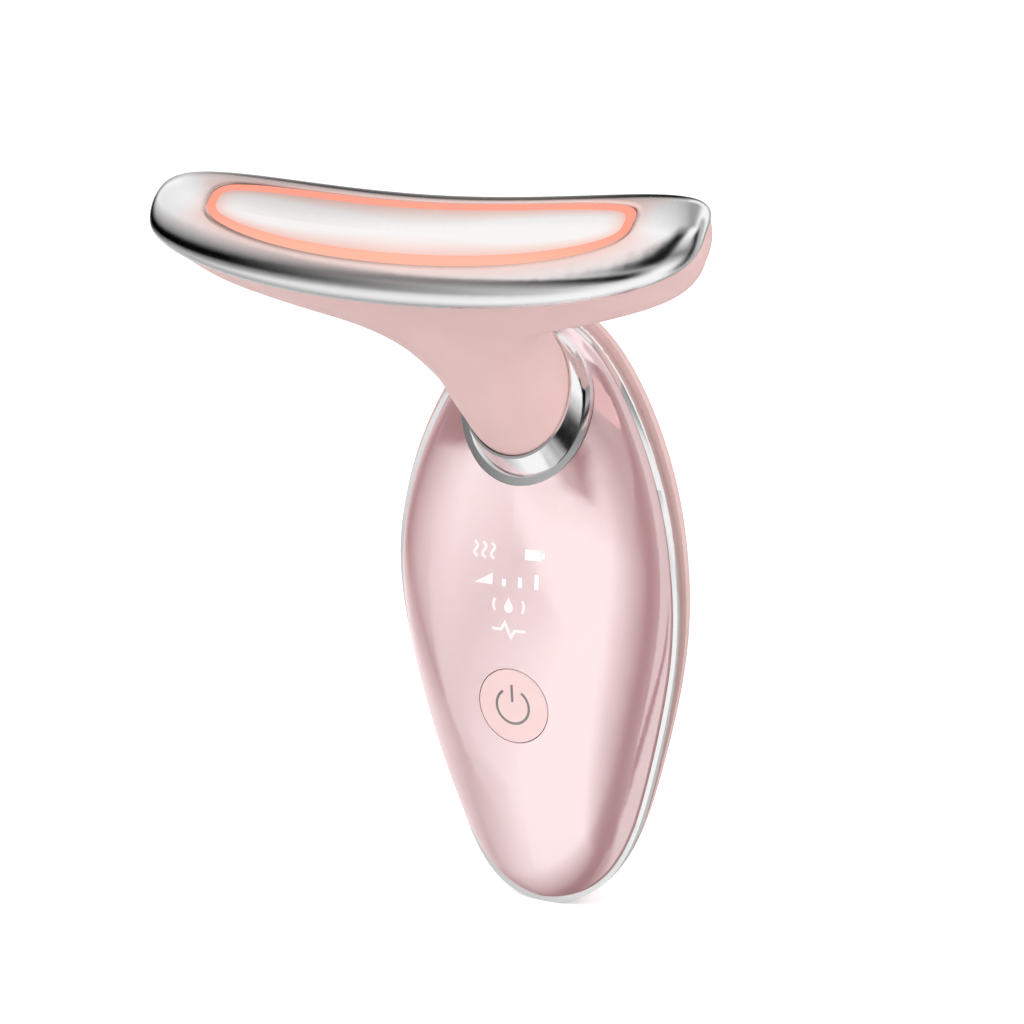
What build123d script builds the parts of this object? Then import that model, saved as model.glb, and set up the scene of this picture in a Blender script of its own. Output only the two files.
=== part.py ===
"""Facial toning device: a bent, lit treatment head on a slanting neck, carried by a teardrop handle.

Millimetres, +Z up the handle, +X to the right seen from the front, +Y to the back. The model is drawn
with Z = 0 at the lowest point of the handle and Y = 0 at the middle of the trim ring, and every piece is
moved at the end so that the origin is the centre of the flat seat round the charging port.
"""
import os
from math import cos, pi, radians, sin, tan

from build123d import *

# ---------------------------------------------------------------- handle form
HANDLE_LENGTH = 91.5
HANDLE_HALF_WIDTH = 23.21
OUTLINE_LEAN = -0.33       # moves the widest place up or down
OUTLINE_POINT = -0.11      # draws both ends to a point
OUTLINE_WAIST = 0.77       # flattens the lower flanks
OUTLINE_CHEEK = 0.33       # fills the middle
CROWN_Y = -10.4            # foremost point of the front cover
CROWN_Z = 34.3             # height of that point
CROWN_RADIUS = 122.0       # lengthwise arc of the front
FRONT_FULLNESS = 0.60      # roundness of the cross-section, 0.55 is an ellipse
BACK_DEPTH = 11.3          # trim ring middle to the rearmost point
BACK_FULLNESS = 0.66
BACK_END_POWER = 0.7       # how bluntly the back runs into the two ends
RIM_Y = -0.8               # plane of the trim ring's middle line
BOTTOM_CURL_LENGTH = 17.0  # stretch at the bottom over which the ring leaves its plane
TOP_CURL_LENGTH = 40.0     # stretch at the top
RIM_CURL_BOTTOM = -3.05    # forward at the bottom
RIM_CURL_TOP = 7.0         # backward at the top
COVER_WALL = 1.8
FRONT_SETBACK = 0.7        # front cover stands inside the trim ring
BACK_SPREAD = 1.1          # rear cover stands outside it towards the top
SPREAD_RISE = 1.1          # how soon up the handle it does so

# ---------------------------------------------------------------- trim ring
TRIM_FRONT = 0.8           # ring faces, either side of the rim curve
TRIM_BACK = 0.8
TRIM_WIDTH = 2.6
SEAM = 0.05                # assembly gap between pieces of one housing

# ---------------------------------------------------------------- head and neck
HEAD_Y = -30.05            # middle of the treatment face
HEAD_Z = 110.84
PLATE_TILT = 44.8          # treatment face normal above horizontal, degrees
NECK_LEAN = 3.1            # neck axis against that normal, degrees
HEAD_HALF_LENGTH = 44.0
HEAD_HALF_WIDTH = 8.85
HEAD_BEND = 2.55           # ends bent towards the back
HEAD_OFFSET = -0.3         # face's middle line, off the neck axis
HEAD_SQUARENESS = 3.5      # superellipse exponent of the outline
PLATE_DEPTH = 4.7          # face to joint line in the middle
JOINT_RISE = 4.75          # rise of the joint line at the ends
CROWN_RISE = 3.5           # rise of the face at the ends
CROWN_FULLNESS = 0.51
PLATE_WALL = 1.2
HEAD_WALL = 1.8
NECK_RADIUS = 8.75
NECK_BORE = 5.3
CAVITY_DEPTH = 19.0        # the hollow head ends here and the neck bore goes on
# the flare from face to neck: distance below the face, share of the way out from the neck to the
# head's outline, slimming of the sides and set-back of the middle line
FLARE = ((46.0, 0.0, 0.0, 0.0), (42.0, 0.0, 0.0, 0.0), (38.0, 0.0, 0.0, 0.0), (35.0, 0.0, 0.0, 0.0),
         (32.0, 0.001, 0.08, 0.08), (29.0, 0.008, 0.35, 0.35), (25.0, 0.045, 0.55, 0.6),
         (21.0, 0.104, 0.65, 0.7), (17.0, 0.227, 0.75, 0.7), (14.0, 0.41, 0.8, 0.7),
         (12.0, 0.605, 0.8, 0.67), (10.0, 0.767, 0.75, 0.58), (8.0, 0.884, 0.7, 0.49), (5.0, 0.955, 0.6, 0.35),
         (2.0, 0.982, 0.25, 0.15), (-0.5, 0.99, 0.0, 0.0))

# ---------------------------------------------------------------- light ring and face
RING_HALF_LENGTH = 33.2
RING_HALF_WIDTH = 4.5
RING_BEND = 3.85           # as HEAD_BEND, at the head's full length
RING_OFFSET = 0.3
RING_SQUARENESS = 3.2
RING_WIDTH = 1.3
RING_DEPTH = 1.5
INLAY_GAP = 0.04
GASKET_THICKNESS = 0.3
GASKET_INSET = 0.6
GASKET_WIDTH = 0.9
CLIPS = ((-16.0, -5.4, 4.0, 0.8), (16.0, -5.4, 4.0, 0.8),
         (-36.8, 0.0, 0.8, 4.0), (36.8, 0.0, 0.8, 4.0))    # place, off the middle line, length, width
CLIP_ROOT = 2.6            # above the joint, inside the plate's wall
CLIP_TIP = 4.0             # below the joint

# ---------------------------------------------------------------- collar and neck clamp
COLLAR_Y = -1.7
COLLAR_Z = 78.9
COLLAR_TILT = 19.0
COLLAR_HALF_WIDTH = 10.85
COLLAR_HALF_HEIGHT = 12.0
COLLAR_HEIGHT = 3.3        # cone above its flange
COLLAR_SINK = 1.4          # flange seated in the cover
COLLAR_LIP = 0.65
COLLAR_EDGE = 0.35
NECK_CLEARANCE = 0.1
BOSS_DEPTH = 3.6           # inner face of the neck boss, below the collar plane
BOSS_MARGIN = 1.1
CLAMP_MARGIN = 2.0         # clamp plate beyond the neck
CLAMP_THICKNESS = 1.4
CLAMP_HOLE = 4.6
CLAMP_SCREW_SPREAD = 7.0

# ---------------------------------------------------------------- button
BUTTON_RADIUS = 5.8
BUTTON_GAP = 0.15
BUTTON_FLANGE = 0.8
BUTTON_FLANGE_THICKNESS = 0.8
BUTTON_BOTTOM = -6.9
BUTTON_TRAVEL = 0.4
SYMBOL_RADIUS = 2.75
SYMBOL_LINE = 0.42
SYMBOL_GAP = 34.0          # half of the opening at the top of the arc, degrees
SYMBOL_DEPTH = 0.12

# ---------------------------------------------------------------- main board, switch, display
BOARD_FRONT = -3.5
BOARD_THICKNESS = 1.6
BOARD_HALF_WIDTH = 14.5
BOARD_BOTTOM = 24.5
BOARD_TOP = 62.0
BOARD_CORNER = 3.5
BOARD_SCREW_INSET = 2.9
BOARD_SCREW_TOP = 57.5
BOARD_SCREW_BOTTOM = 28.0
SWITCH_SIDE = 6.0
SWITCH_HEIGHT = 2.5
SWITCH_FLOOR = 0.5
PLUNGER_RADIUS = 1.65
PLUNGER_CLEARANCE = 0.08
ICON_DEPTH = 0.15
ICON_LINE = 0.42
ICON_ROWS = (57.8, 53.7, 49.9, 46.2)   # heat and battery, level, cleaning, pulse
ICON_LEFT = -4.7
ICON_MIDDLE = -0.3
ICON_RIGHT = 3.6
BARS_LEFT = -1.15
BARS_PITCH = 2.75
BAFFLE_HALF_WIDTH = 7.6
BAFFLE_BOTTOM = 45.6
BAFFLE_TOP = 60.4
BAFFLE_WALL = 0.8
DIFFUSER_THICKNESS = 0.3
LED = (1.6, 0.8, 0.6)      # length, width, height of one lamp

# ---------------------------------------------------------------- battery, charging
BATTERY_HALF_WIDTH = 12.5
BATTERY_THICKNESS = 6.0
BATTERY_FRONT = 0.3
BATTERY_BOTTOM = 25.0
BATTERY_TOP = 55.0
BATTERY_CORNER = 1.2
PAD_HALF_WIDTH = 9.0
PAD_MARGIN = 4.0
PORT_Z = 17.0
SEAT_Y = 6.6               # flat seat round the charging port
SEAT_HALF_WIDTH = 6.5
SEAT_HALF_HEIGHT = 3.6
SEAT_WALL = 1.7
SEAT_FRAME = 1.0
USB_WIDTH = 8.94
USB_HEIGHT = 3.26
USB_WALL = 0.3
USB_GAP = 0.15
TONGUE_HALF_WIDTH = 3.35
TONGUE_THICKNESS = 0.7
TONGUE_SETBACK = 1.2
CHARGE_BOARD_FRONT = -0.6
CHARGE_BOARD_THICKNESS = 1.0
CHARGE_BOARD_HALF_WIDTH = 10.2
CHARGE_BOARD_BOTTOM = 11.6
CHARGE_BOARD_TOP = 22.4
CHARGE_SCREW_X = 7.9
CHARGE_SCREW_Z = 20.0
WIRE = 1.0
HOOK_HEIGHTS = (32.0, 56.0)
HOOK_HALF_WIDTH = 2.5
HOOK_THICKNESS = 1.0
HOOK_REACH = 1.1           # in front of the rim plane
CONTACT_Z = 45.0
CONTACT_WIDTH = 3.0
CONTACT_LEAF = 0.25
CONTACT_FOOT = 3.2         # stands this far inside the board's edge
CONTACT_ARM = 0.6          # lies this far past the board's edge
CONTACT_TIP = 2.6
CONTACT_RISES = (0.8, 1.1)  # behind the board, before and at the tip

# ---------------------------------------------------------------- head insides
HEAD_BOARD_TOP = -3.2
HEAD_BOARD_THICKNESS = 1.0
HEAD_BOARD_HALF_LENGTH = 31.0
HEAD_BOARD_HALF_WIDTH = 5.0
HEAD_LED_COUNT = 14
HEAD_LED_TRACK = (29.3, 3.6)
HEAD_POST = 22.5
HEAD_POST_RADIUS = 1.9
FILM_HALF_LENGTH = 26.0
FILM_HALF_WIDTH = 3.0
FILM_THICKNESS = 0.2
PIN_PLACE = 27.0
PIN_RADIUS = 0.6
MOTOR_LEVEL = -9.2
MOTOR_RADIUS = 3.0
MOTOR_LEFT = -9.0
MOTOR_RIGHT = 4.6
SLEEVE_RADIUS = 4.1
SLEEVE_LEFT = -8.2
SLEEVE_RIGHT = 4.2
SADDLE_PLACES = (-6.9, 3.4)
SADDLE_THICKNESS = 1.2
SHAFT_RADIUS = 0.5
SHAFT_CLEARANCE = 0.05
SHAFT_DEPTH = 2.0          # of the shaft inside the can
SHAFT_END = 10.0
WEIGHT_RADIUS = 2.9
WEIGHT_LEFT = 5.4
WEIGHT_RIGHT = 9.4
HARNESS_PITCH = 1.25
HARNESS_WIRE = 1.0
# route of the wires: across and below the face, then back and height in the handle
HARNESS_IN_HEAD = ((4.3, -4.36), (5.3, -9.5), (5.0, -13.5), (2.0, -20.5), (-1.4, -32.0))
HARNESS_IN_HANDLE = ((-1.0, 79.2), (2.9, 73.2), (2.2, 68.2), (-0.4, 64.4))
SOCKET_BOTTOM = 57.2
SOCKET_TOP = 61.4
SOCKET_DEPTH = 3.0
SOCKET_HOLE = 1.6
SOCKET_MARGIN = 1.0        # beyond the outer wires
CONTROLLER = ((-9.5, -2.5), 0.9, (44.5, 51.5))  # sides, depth, bottom and top
CHARGER = ((-2.5, 2.5), 1.2, (29.0, 33.0))
COIL_PLACE = (5.0, 46.5)
COIL_DEPTH = 1.8
COIL_RADII = (3.4, 1.2)
CAPACITOR_PLACES = (-8.0, -4.0, 0.0, 4.0)
CAPACITOR_BOTTOM = 36.5
CAPACITOR_SIZE = (2.0, 1.2, 1.3)
LEAD_PLACES = (6.3, 7.8)

# ---------------------------------------------------------------- screws
SCREW_RADIUS = 0.9
SCREW_HEAD_RADIUS = 1.75
SCREW_HEAD_HEIGHT = 1.1
SCREW_GRIP = 2.6           # thread held in its boss
SCREW_BOSS = 2.2
PILOT_CLEARANCE = 0.03
HOLE_CLEARANCE = 0.15

ALONG_X = Vector(1, 0, 0)
ALONG_Y = Vector(0, 1, 0)
FAR = 60.0                 # beyond every surface of the device
FORM_STATIONS = 15
END_ANGLE = 0.05           # section angle at which the handle form is capped
NECK_TILT = PLATE_TILT + NECK_LEAN
BOARD_REAR = BOARD_FRONT + BOARD_THICKNESS


# ================================================================ handle geometry
def rim_y(z):
    """The trim ring's middle line: flat along most of the handle, curled at both ends."""
    bottom = max(0.0, 1 - z / BOTTOM_CURL_LENGTH)
    top = max(0.0, 1 - (HANDLE_LENGTH - z) / TOP_CURL_LENGTH)
    return RIM_Y + RIM_CURL_BOTTOM * bottom**2 + RIM_CURL_TOP * top**1.5


def front_y(z):
    """Front of the handle on its middle line."""
    return CROWN_Y + (z - CROWN_Z) ** 2 / (2 * CROWN_RADIUS)


def outline(angle, inset):
    """Half-width and height of the handle outline, drawn in by inset."""
    x = (HANDLE_HALF_WIDTH - inset) * sin(angle) + OUTLINE_LEAN * sin(2 * angle)
    x += OUTLINE_POINT * sin(3 * angle) + OUTLINE_WAIST * sin(4 * angle) + OUTLINE_CHEEK * sin(5 * angle)
    return x, HANDLE_LENGTH / 2 - (HANDLE_LENGTH / 2 - inset) * cos(angle)


def quarter(side, crest, full):
    """Bezier quarter of a rounded section, from its side to its crest."""
    corner = Vector(side.X, crest.Y, crest.Z) if side.Z == crest.Z else Vector(side.X, side.Y, crest.Z)
    return Bezier(side, side + (corner - side) * full, crest + (corner - crest) * full, crest)


def front_setback(angle):
    """How far the front cover stands inside the outline."""
    return FRONT_SETBACK


def back_setback(angle):
    """How far the rear cover stands inside the outline: less than nothing towards the top, where it bulges out."""
    rise = min(1.0, SPREAD_RISE * (1 - cos(angle)) / 2)
    return -BACK_SPREAD * rise**2 * (3 - 2 * rise)


def handle_section(angle, inset, setback):
    """Closed cross-section of the handle at one height."""
    x, z = outline(angle, inset + setback(angle))
    rim = rim_y(z)
    crown = (rim - front_y(z) - inset) * (1 - abs(cos(angle)) ** 6) ** (1 / 6)
    back = (BACK_DEPTH - inset) * sin(angle) ** BACK_END_POWER
    right, left = Vector(x, rim, z), Vector(-x, rim, z)
    front, rear = Vector(0, rim - crown, z), Vector(0, rim + back, z)
    return Wire([quarter(right, front, FRONT_FULLNESS), quarter(left, front, FRONT_FULLNESS),
                 quarter(left, rear, BACK_FULLNESS), quarter(right, rear, BACK_FULLNESS)])


def handle_form(inset, setback):
    """Solid of the whole handle as one cover has it, each wall drawn in by inset."""
    step = (pi - 2 * END_ANGLE) / (FORM_STATIONS - 1)
    return Solid.make_loft([handle_section(END_ANGLE + step * i, inset, setback) for i in range(FORM_STATIONS)])


def handle_prism(inset):
    """Prism of the handle outline, right through from front to back."""
    points = [outline(2 * pi * i / (2 * FORM_STATIONS), inset) for i in range(2 * FORM_STATIONS)]
    ring = Wire([Spline(*[(x, -FAR, z) for x, z in points], periodic=True)])
    return Solid.extrude(Face(ring), ALONG_Y * (2 * FAR))


def behind(shift):
    """Everything behind the rim curve moved back by shift."""
    heights = [HANDLE_LENGTH * (i - 1) / FORM_STATIONS for i in range(FORM_STATIONS + 3)]
    curve = Spline(*[(-FAR, rim_y(z) + shift, z) for z in heights])
    back = Polyline(curve @ 1, (-FAR, FAR, heights[-1]), (-FAR, FAR, heights[0]), curve @ 0)
    return Solid.extrude(Face(Wire([curve] + back.edges())), ALONG_X * (2 * FAR))


def rod(x, z, y_front, y_rear, radius):
    """Round bar along Y."""
    place = Plane(origin=(x, y_front, z), x_dir=(1, 0, 0), z_dir=(0, 1, 0))
    return Solid.make_cylinder(radius, y_rear - y_front, place)


def block(x, y, z):
    """Box between three pairs of limits."""
    return Solid.make_box(x[1] - x[0], y[1] - y[0], z[1] - z[0], Plane(origin=(x[0], y[0], z[0])))


def slot(half_width, half_height, y_front, y_rear, z):
    """Bar along Y with a stadium section lying along X."""
    face = Plane(origin=(0, y_front, z), x_dir=(1, 0, 0), z_dir=(0, 1, 0))
    flat = SlotOverall(2 * half_width, 2 * half_height)
    return extrude(face * flat, y_rear - y_front).solid()


def screw(grip):
    """Pan-head screw along its own +Z: the head below Z = 0, the shank above."""
    head = Solid.make_cylinder(SCREW_HEAD_RADIUS, SCREW_HEAD_HEIGHT, Plane(origin=(0, 0, -SCREW_HEAD_HEIGHT)))
    shank = Solid.make_cylinder(SCREW_RADIUS, grip)
    blade = SCREW_HEAD_RADIUS * 0.6, SCREW_RADIUS * 0.2, SCREW_HEAD_HEIGHT * 0.5
    cross = Box(2 * blade[0], 2 * blade[1], 2 * blade[2]) + Box(2 * blade[1], 2 * blade[0], 2 * blade[2])
    return ((head + shank) - Pos(0, 0, -SCREW_HEAD_HEIGHT) * cross).solid()


def facing_front(x, y, z):
    """Place whose +Z points to the front."""
    return Location(Plane(origin=(x, y, z), x_dir=(-1, 0, 0), z_dir=(0, -1, 0)))


def facing_back(x, y, z):
    """Place whose +Z points to the back."""
    return Location(Plane(origin=(x, y, z), x_dir=(1, 0, 0), z_dir=(0, 1, 0)))


def wire(points, diameter):
    """Insulated wire along straight runs joined by arcs as large as the runs allow."""
    turns = [Vector(*b) - Vector(*a) for a, b in zip(points, points[1:])]
    radii = []
    for before, after in zip(turns, turns[1:]):
        half_turn = radians(before.get_angle(after)) / 2
        radii.append(0.45 * min(before.length, after.length) / tan(half_turn))
    path = FilletPolyline(*points, radius=radii)
    section = Plane(origin=points[0], z_dir=turns[0]) * Circle(diameter / 2)
    return sweep(section, path=path).solid()


# ================================================================ head geometry, in the frame of its face
HEAD = Location(Plane(origin=(0, HEAD_Y, HEAD_Z), x_dir=(1, 0, 0),
                      z_dir=(0, -cos(radians(PLATE_TILT)), sin(radians(PLATE_TILT)))))
COLLAR = Location(Plane(origin=(0, COLLAR_Y, COLLAR_Z), x_dir=(1, 0, 0),
                        z_dir=(0, -cos(radians(COLLAR_TILT)), sin(radians(COLLAR_TILT)))))
LEAN = tan(radians(NECK_LEAN))


def joint_level(u):
    """Level of the joint between treatment plate and head shell."""
    return JOINT_RISE * (u / HEAD_HALF_LENGTH) ** 2 - PLATE_DEPTH


def head_line(u):
    """Middle line of the head, bent towards the back at its ends."""
    return HEAD_BEND * (u / HEAD_HALF_LENGTH) ** 2 + HEAD_OFFSET


def ring_line(u):
    """Middle line of the light ring and of what lies under it."""
    return RING_BEND * (u / HEAD_HALF_LENGTH) ** 2 + RING_OFFSET


def superellipse(angle, squareness):
    """Point of the unit superellipse in one direction."""
    c, s = cos(angle), sin(angle)
    reach = (abs(c) ** squareness + abs(s) ** squareness) ** (1 / squareness)
    return c / reach, s / reach


def oval(half_length, half_width, line, squareness, level, shift=0.0):
    """Closed oval at one level, laid along a bent middle line."""
    points = []
    for i in range(2 * FORM_STATIONS):
        a, b = superellipse(pi * i / FORM_STATIONS, squareness)
        points.append((half_length * a, half_width * b + line(half_length * a) + shift, level))
    return Wire([Spline(*points, periodic=True)])


def head_prism(inset):
    """Upright prism of the face's outline, drawn in by inset."""
    base = oval(HEAD_HALF_LENGTH - inset, HEAD_HALF_WIDTH - inset, head_line, HEAD_SQUARENESS, -FAR / 2)
    return Solid.extrude(Face(base), Vector(0, 0, FAR))


def ring_prism(half_length, half_width, low=-FAR / 2, high=FAR / 2):
    """Upright prism of an oval like the light ring between two levels."""
    base = oval(half_length, half_width, ring_line, RING_SQUARENESS, low)
    return Solid.extrude(Face(base), Vector(0, 0, high - low))


def flare_form(inset):
    """Trumpet from the neck up to the treatment face, drawn in by inset."""
    wires = []
    for depth, share, slimming, set_back in FLARE:
        half_length = NECK_RADIUS + (HEAD_HALF_LENGTH - NECK_RADIUS) * share
        half_width = NECK_RADIUS + (HEAD_HALF_WIDTH - NECK_RADIUS) * share - slimming
        squareness = 2 + (HEAD_SQUARENESS - 2) * share**0.6
        shift = set_back - LEAN * depth - HEAD_OFFSET * (1 - share)
        wires.append(oval(half_length - inset, half_width - inset, head_line, squareness, inset - depth, shift))
    return Solid.make_loft(wires)


def above_joint(shift):
    """Everything above the joint surface moved up by shift."""
    half = HEAD_HALF_LENGTH * 1.2
    side, top = -FAR / 2, FAR / 2
    left, right = (-half, side, joint_level(half) + shift), (half, side, joint_level(half) + shift)
    middle = (0, side, 2 * (joint_level(0) + shift) - left[2])
    edges = [Bezier(left, middle, right), Line(right, (half, side, top)), Line((half, side, top), (-half, side, top)),
             Line((-half, side, top), left)]
    return Solid.extrude(Face(Wire(edges)), ALONG_Y * FAR)


def plate_form(inset, skirt=0.0):
    """Crowned form of the treatment face, drawn in by inset all round, its base lowered by skirt."""
    first = radians(2)
    count = 2 * FORM_STATIONS - 5
    wires = []
    for i in range(count):
        a, b = superellipse(first + (pi - 2 * first) * i / (count - 1), HEAD_SQUARENESS)
        u, v = (HEAD_HALF_LENGTH - inset) * a, (HEAD_HALF_WIDTH - inset) * b
        base = joint_level(u)
        crown = CROWN_RISE * (u / HEAD_HALF_LENGTH) ** 2
        top = base + (crown - base - inset) * b
        near, far = Vector(u, head_line(u) - v, base - skirt), Vector(u, head_line(u) + v, base - skirt)
        crest = Vector(u, head_line(u), top)
        near_edge, far_edge = quarter(near, crest, CROWN_FULLNESS), quarter(far, crest, CROWN_FULLNESS)
        wires.append(Wire([near_edge, far_edge, Line(far, near)]))
    return Solid.make_loft(wires)


def head_rod(u, v, low, high, radius):
    """Round bar along the face normal."""
    return Solid.make_cylinder(radius, high - low, Plane(origin=(u, v, low)))


def cross_rod(left, right, radius):
    """Round bar along X on the motor's axis."""
    return Solid.make_cylinder(radius, right - left, Plane(origin=(left, 0, MOTOR_LEVEL), z_dir=(1, 0, 0)))


def neck_bar(radius):
    """Round bar down the neck axis, in the frame of the face."""
    lean = radians(NECK_LEAN)
    place = Plane(origin=(0, 0, 0), x_dir=(1, 0, 0), z_dir=(0, -sin(lean), -cos(lean)))
    return Solid.make_cylinder(radius, FAR, place)


def neck_shift(level):
    """Height of the neck axis in the collar's frame, at one level of that frame."""
    tilt = radians(COLLAR_TILT)
    back, up = COLLAR_Y - HEAD_Y, HEAD_Z - COLLAR_Z
    head_up = up * cos(tilt) - back * sin(tilt)
    head_out = back * cos(tilt) + up * sin(tilt)
    return head_up - (head_out - level) * tan(radians(NECK_TILT - COLLAR_TILT))


def collar_oval(half_width, half_height, level, shift=0.0):
    """Ellipse in the collar's frame."""
    if half_width > half_height:
        return Wire([Edge.make_ellipse(half_width, half_height, Plane(origin=(0, shift, level)))])
    place = Plane(origin=(0, shift, level), x_dir=(0, 1, 0))
    return Wire([Edge.make_ellipse(half_height, half_width, place)])


def collar_plate(half_width, half_height, low, high, shift=0.0):
    """Elliptical plate in the collar's frame."""
    return Solid.extrude(Face(collar_oval(half_width, half_height, low, shift)), Vector(0, 0, high - low))


NECK_OVAL_RATIO = 1 / cos(radians(NECK_TILT - COLLAR_TILT))
BOARD_SCREWS = [(side * (BOARD_HALF_WIDTH - BOARD_SCREW_INSET), z)
                for side in (-1, 1) for z in (BOARD_SCREW_BOTTOM, BOARD_SCREW_TOP)]
CHARGE_SCREWS = [(-CHARGE_SCREW_X, CHARGE_SCREW_Z), (CHARGE_SCREW_X, CHARGE_SCREW_Z)]
CLAMP_LEVEL = -BOSS_DEPTH - SEAM - CLAMP_THICKNESS
CLAMP_SCREWS = [-CLAMP_SCREW_SPREAD, CLAMP_SCREW_SPREAD]
CHARGE_BOARD_REAR = CHARGE_BOARD_FRONT + CHARGE_BOARD_THICKNESS


# ================================================================ housing of the handle
def icon_faces():
    """Marks in the display as flat faces seen from the front: X to the right, Y up from the drawing's Z = 0."""
    line, left, middle = ICON_LINE, ICON_LEFT, ICON_MIDDLE
    heat, level, clean, pulse = ICON_ROWS
    wave = [(0.3, -1.1), (-0.25, -0.4), (0.25, 0.4), (-0.3, 1.1)]
    faces = [Pos(left + 1.5 * i, heat) * trace(Spline(*wave), line) for i in (-1, 0, 1)]
    faces.append(Pos(ICON_RIGHT, heat) * Rectangle(2.6, 1.5))
    faces.append(Pos(ICON_RIGHT + 1.7, heat) * Rectangle(line, 0.8))
    wedge = [(left - 1.6, level - 0.9), (left + 1.6, level - 0.9), (left + 1.6, level + 0.9)]
    faces.append(make_face(Polyline(*wedge, close=True)))
    for i, height in enumerate((1.0, 1.5, 2.1)):
        faces.append(Pos(BARS_LEFT + BARS_PITCH * i, level - 0.9 + height / 2) * Rectangle(0.62, height))
    drop = Pos(0, -0.3) * Circle(0.77) + make_face(Polyline((-0.675, 0.07), (0.675, 0.07), (0, 1.3), close=True))
    faces.append(Pos(middle, clean) * drop)
    for turn in (0, 180):
        faces.append(Pos(middle, clean) * Rot(0, 0, turn) * trace(CenterArc((1.1, 0), 1.5, -38, 76), line))
    beat = [(-2.9, 0), (-1.3, 0), (-0.6, 1.1), (0.4, -1.1), (1.1, 0), (2.9, 0)]
    faces.append(Pos(middle, pulse) * trace(Polyline(*beat), line))
    return faces


def display_marks():
    """Bars along Y with the outlines of the display marks."""
    place = Plane(origin=(0, -FAR / 2, 0), x_dir=(1, 0, 0), z_dir=(0, -1, 0))
    return [extrude(place * mark, -FAR / 2).solid() for mark in icon_faces()]


def front_cover(outer, inner, middle, marks):
    cover = (outer - inner) - behind(-TRIM_FRONT - SEAM)
    boss = COLLAR * collar_plate(COLLAR_HALF_WIDTH + BOSS_MARGIN, COLLAR_HALF_HEIGHT + BOSS_MARGIN, -BOSS_DEPTH, FAR)
    cover += boss & middle & handle_prism(TRIM_WIDTH + SEAM)
    for x, z in BOARD_SCREWS:
        cover += rod(x, z, CROWN_Y, BOARD_FRONT, SCREW_BOSS) & middle
    for x, z in BOARD_SCREWS:
        cover -= rod(x, z, BOARD_FRONT - SCREW_GRIP - HOLE_CLEARANCE, BOARD_FRONT, SCREW_RADIUS + PILOT_CLEARANCE)
    cover -= COLLAR * collar_plate(COLLAR_HALF_WIDTH + SEAM, COLLAR_HALF_HEIGHT + SEAM, -COLLAR_SINK - SEAM, FAR)
    cover -= HEAD * neck_bar(NECK_RADIUS + NECK_CLEARANCE)
    cover -= rod(0, CROWN_Z, -FAR, BOARD_FRONT, BUTTON_RADIUS + BUTTON_GAP)
    for mark in marks:
        cover -= mark
    return cover.solid()


def rear_cover(outer, inner, middle):
    cover = (outer - inner) & behind(TRIM_BACK + SEAM)
    frame = block((-SEAT_HALF_WIDTH - SEAT_FRAME, SEAT_HALF_WIDTH + SEAT_FRAME), (SEAT_Y - SEAT_WALL, FAR),
                  (PORT_Z - SEAT_HALF_HEIGHT - SEAT_FRAME, PORT_Z + SEAT_HALF_HEIGHT + SEAT_FRAME))
    cover += frame & middle
    for x, z in CHARGE_SCREWS:
        cover += rod(x, z, CHARGE_BOARD_REAR, FAR, SCREW_BOSS) & middle
    for z in HOOK_HEIGHTS:
        half_width = hook_reach(z)
        for side in (-1, 1):
            limits = sorted((side * half_width, side * (half_width - HOOK_THICKNESS)))
            cover += block(limits, (-HOOK_REACH, FAR), (z - HOOK_HALF_WIDTH, z + HOOK_HALF_WIDTH)) & middle
    cover -= slot(SEAT_HALF_WIDTH, SEAT_HALF_HEIGHT, SEAT_Y, FAR, PORT_Z)
    cover -= slot(USB_WIDTH / 2 + USB_GAP, USB_HEIGHT / 2 + USB_GAP, 0, FAR, PORT_Z)
    for x, z in CHARGE_SCREWS:
        cover -= rod(x, z, CHARGE_BOARD_REAR, CHARGE_BOARD_REAR + SCREW_GRIP + HOLE_CLEARANCE,
                     SCREW_RADIUS + PILOT_CLEARANCE)
    return cover.solid()


def half_width_at(z, inset):
    """Half-width of the handle outline at one height."""
    low, high = 0.0, pi
    for _ in range(40):
        middle = (low + high) / 2
        if outline(middle, inset)[1] < z:
            low = middle
        else:
            high = middle
    return outline(low, inset)[0]


def hook_reach(z):
    """Outer face of the snap hooks: just inside the trim ring over the whole hook."""
    heights = z - HOOK_HALF_WIDTH, z + HOOK_HALF_WIDTH
    return min(half_width_at(height, TRIM_WIDTH) for height in heights) - 2 * SEAM


def trim_ring():
    return ((handle_prism(0) - handle_prism(TRIM_WIDTH)) & (behind(-TRIM_FRONT) - behind(TRIM_BACK))).solid()


def collar_ring():
    lip = COLLAR_LIP
    top = NECK_RADIUS + NECK_CLEARANCE + COLLAR_EDGE
    cone = Solid.make_loft([
        collar_oval(COLLAR_HALF_WIDTH - lip, COLLAR_HALF_HEIGHT - lip, -COLLAR_SINK / 2),
        collar_oval(top, top * NECK_OVAL_RATIO, COLLAR_HEIGHT, neck_shift(COLLAR_HEIGHT))])
    flange = collar_plate(COLLAR_HALF_WIDTH, COLLAR_HALF_HEIGHT, -COLLAR_SINK, 0)
    return (COLLAR * (flange + cone) - HEAD * neck_bar(NECK_RADIUS + NECK_CLEARANCE)).solid()


# ================================================================ button and switch
def symbol_bar():
    """Power symbol as a bar along Y: an open arc and a stroke through its opening."""
    arc = CenterArc((0, 0), SYMBOL_RADIUS, 90 + SYMBOL_GAP, 360 - 2 * SYMBOL_GAP)
    faces = [trace(arc, SYMBOL_LINE), Pos(0, SYMBOL_RADIUS * 0.75) * Rectangle(SYMBOL_LINE, SYMBOL_RADIUS)]
    place = Plane(origin=(0, -FAR / 2, CROWN_Z), x_dir=(1, 0, 0), z_dir=(0, -1, 0))
    return [extrude(place * face, -FAR / 2) for face in faces]


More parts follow.
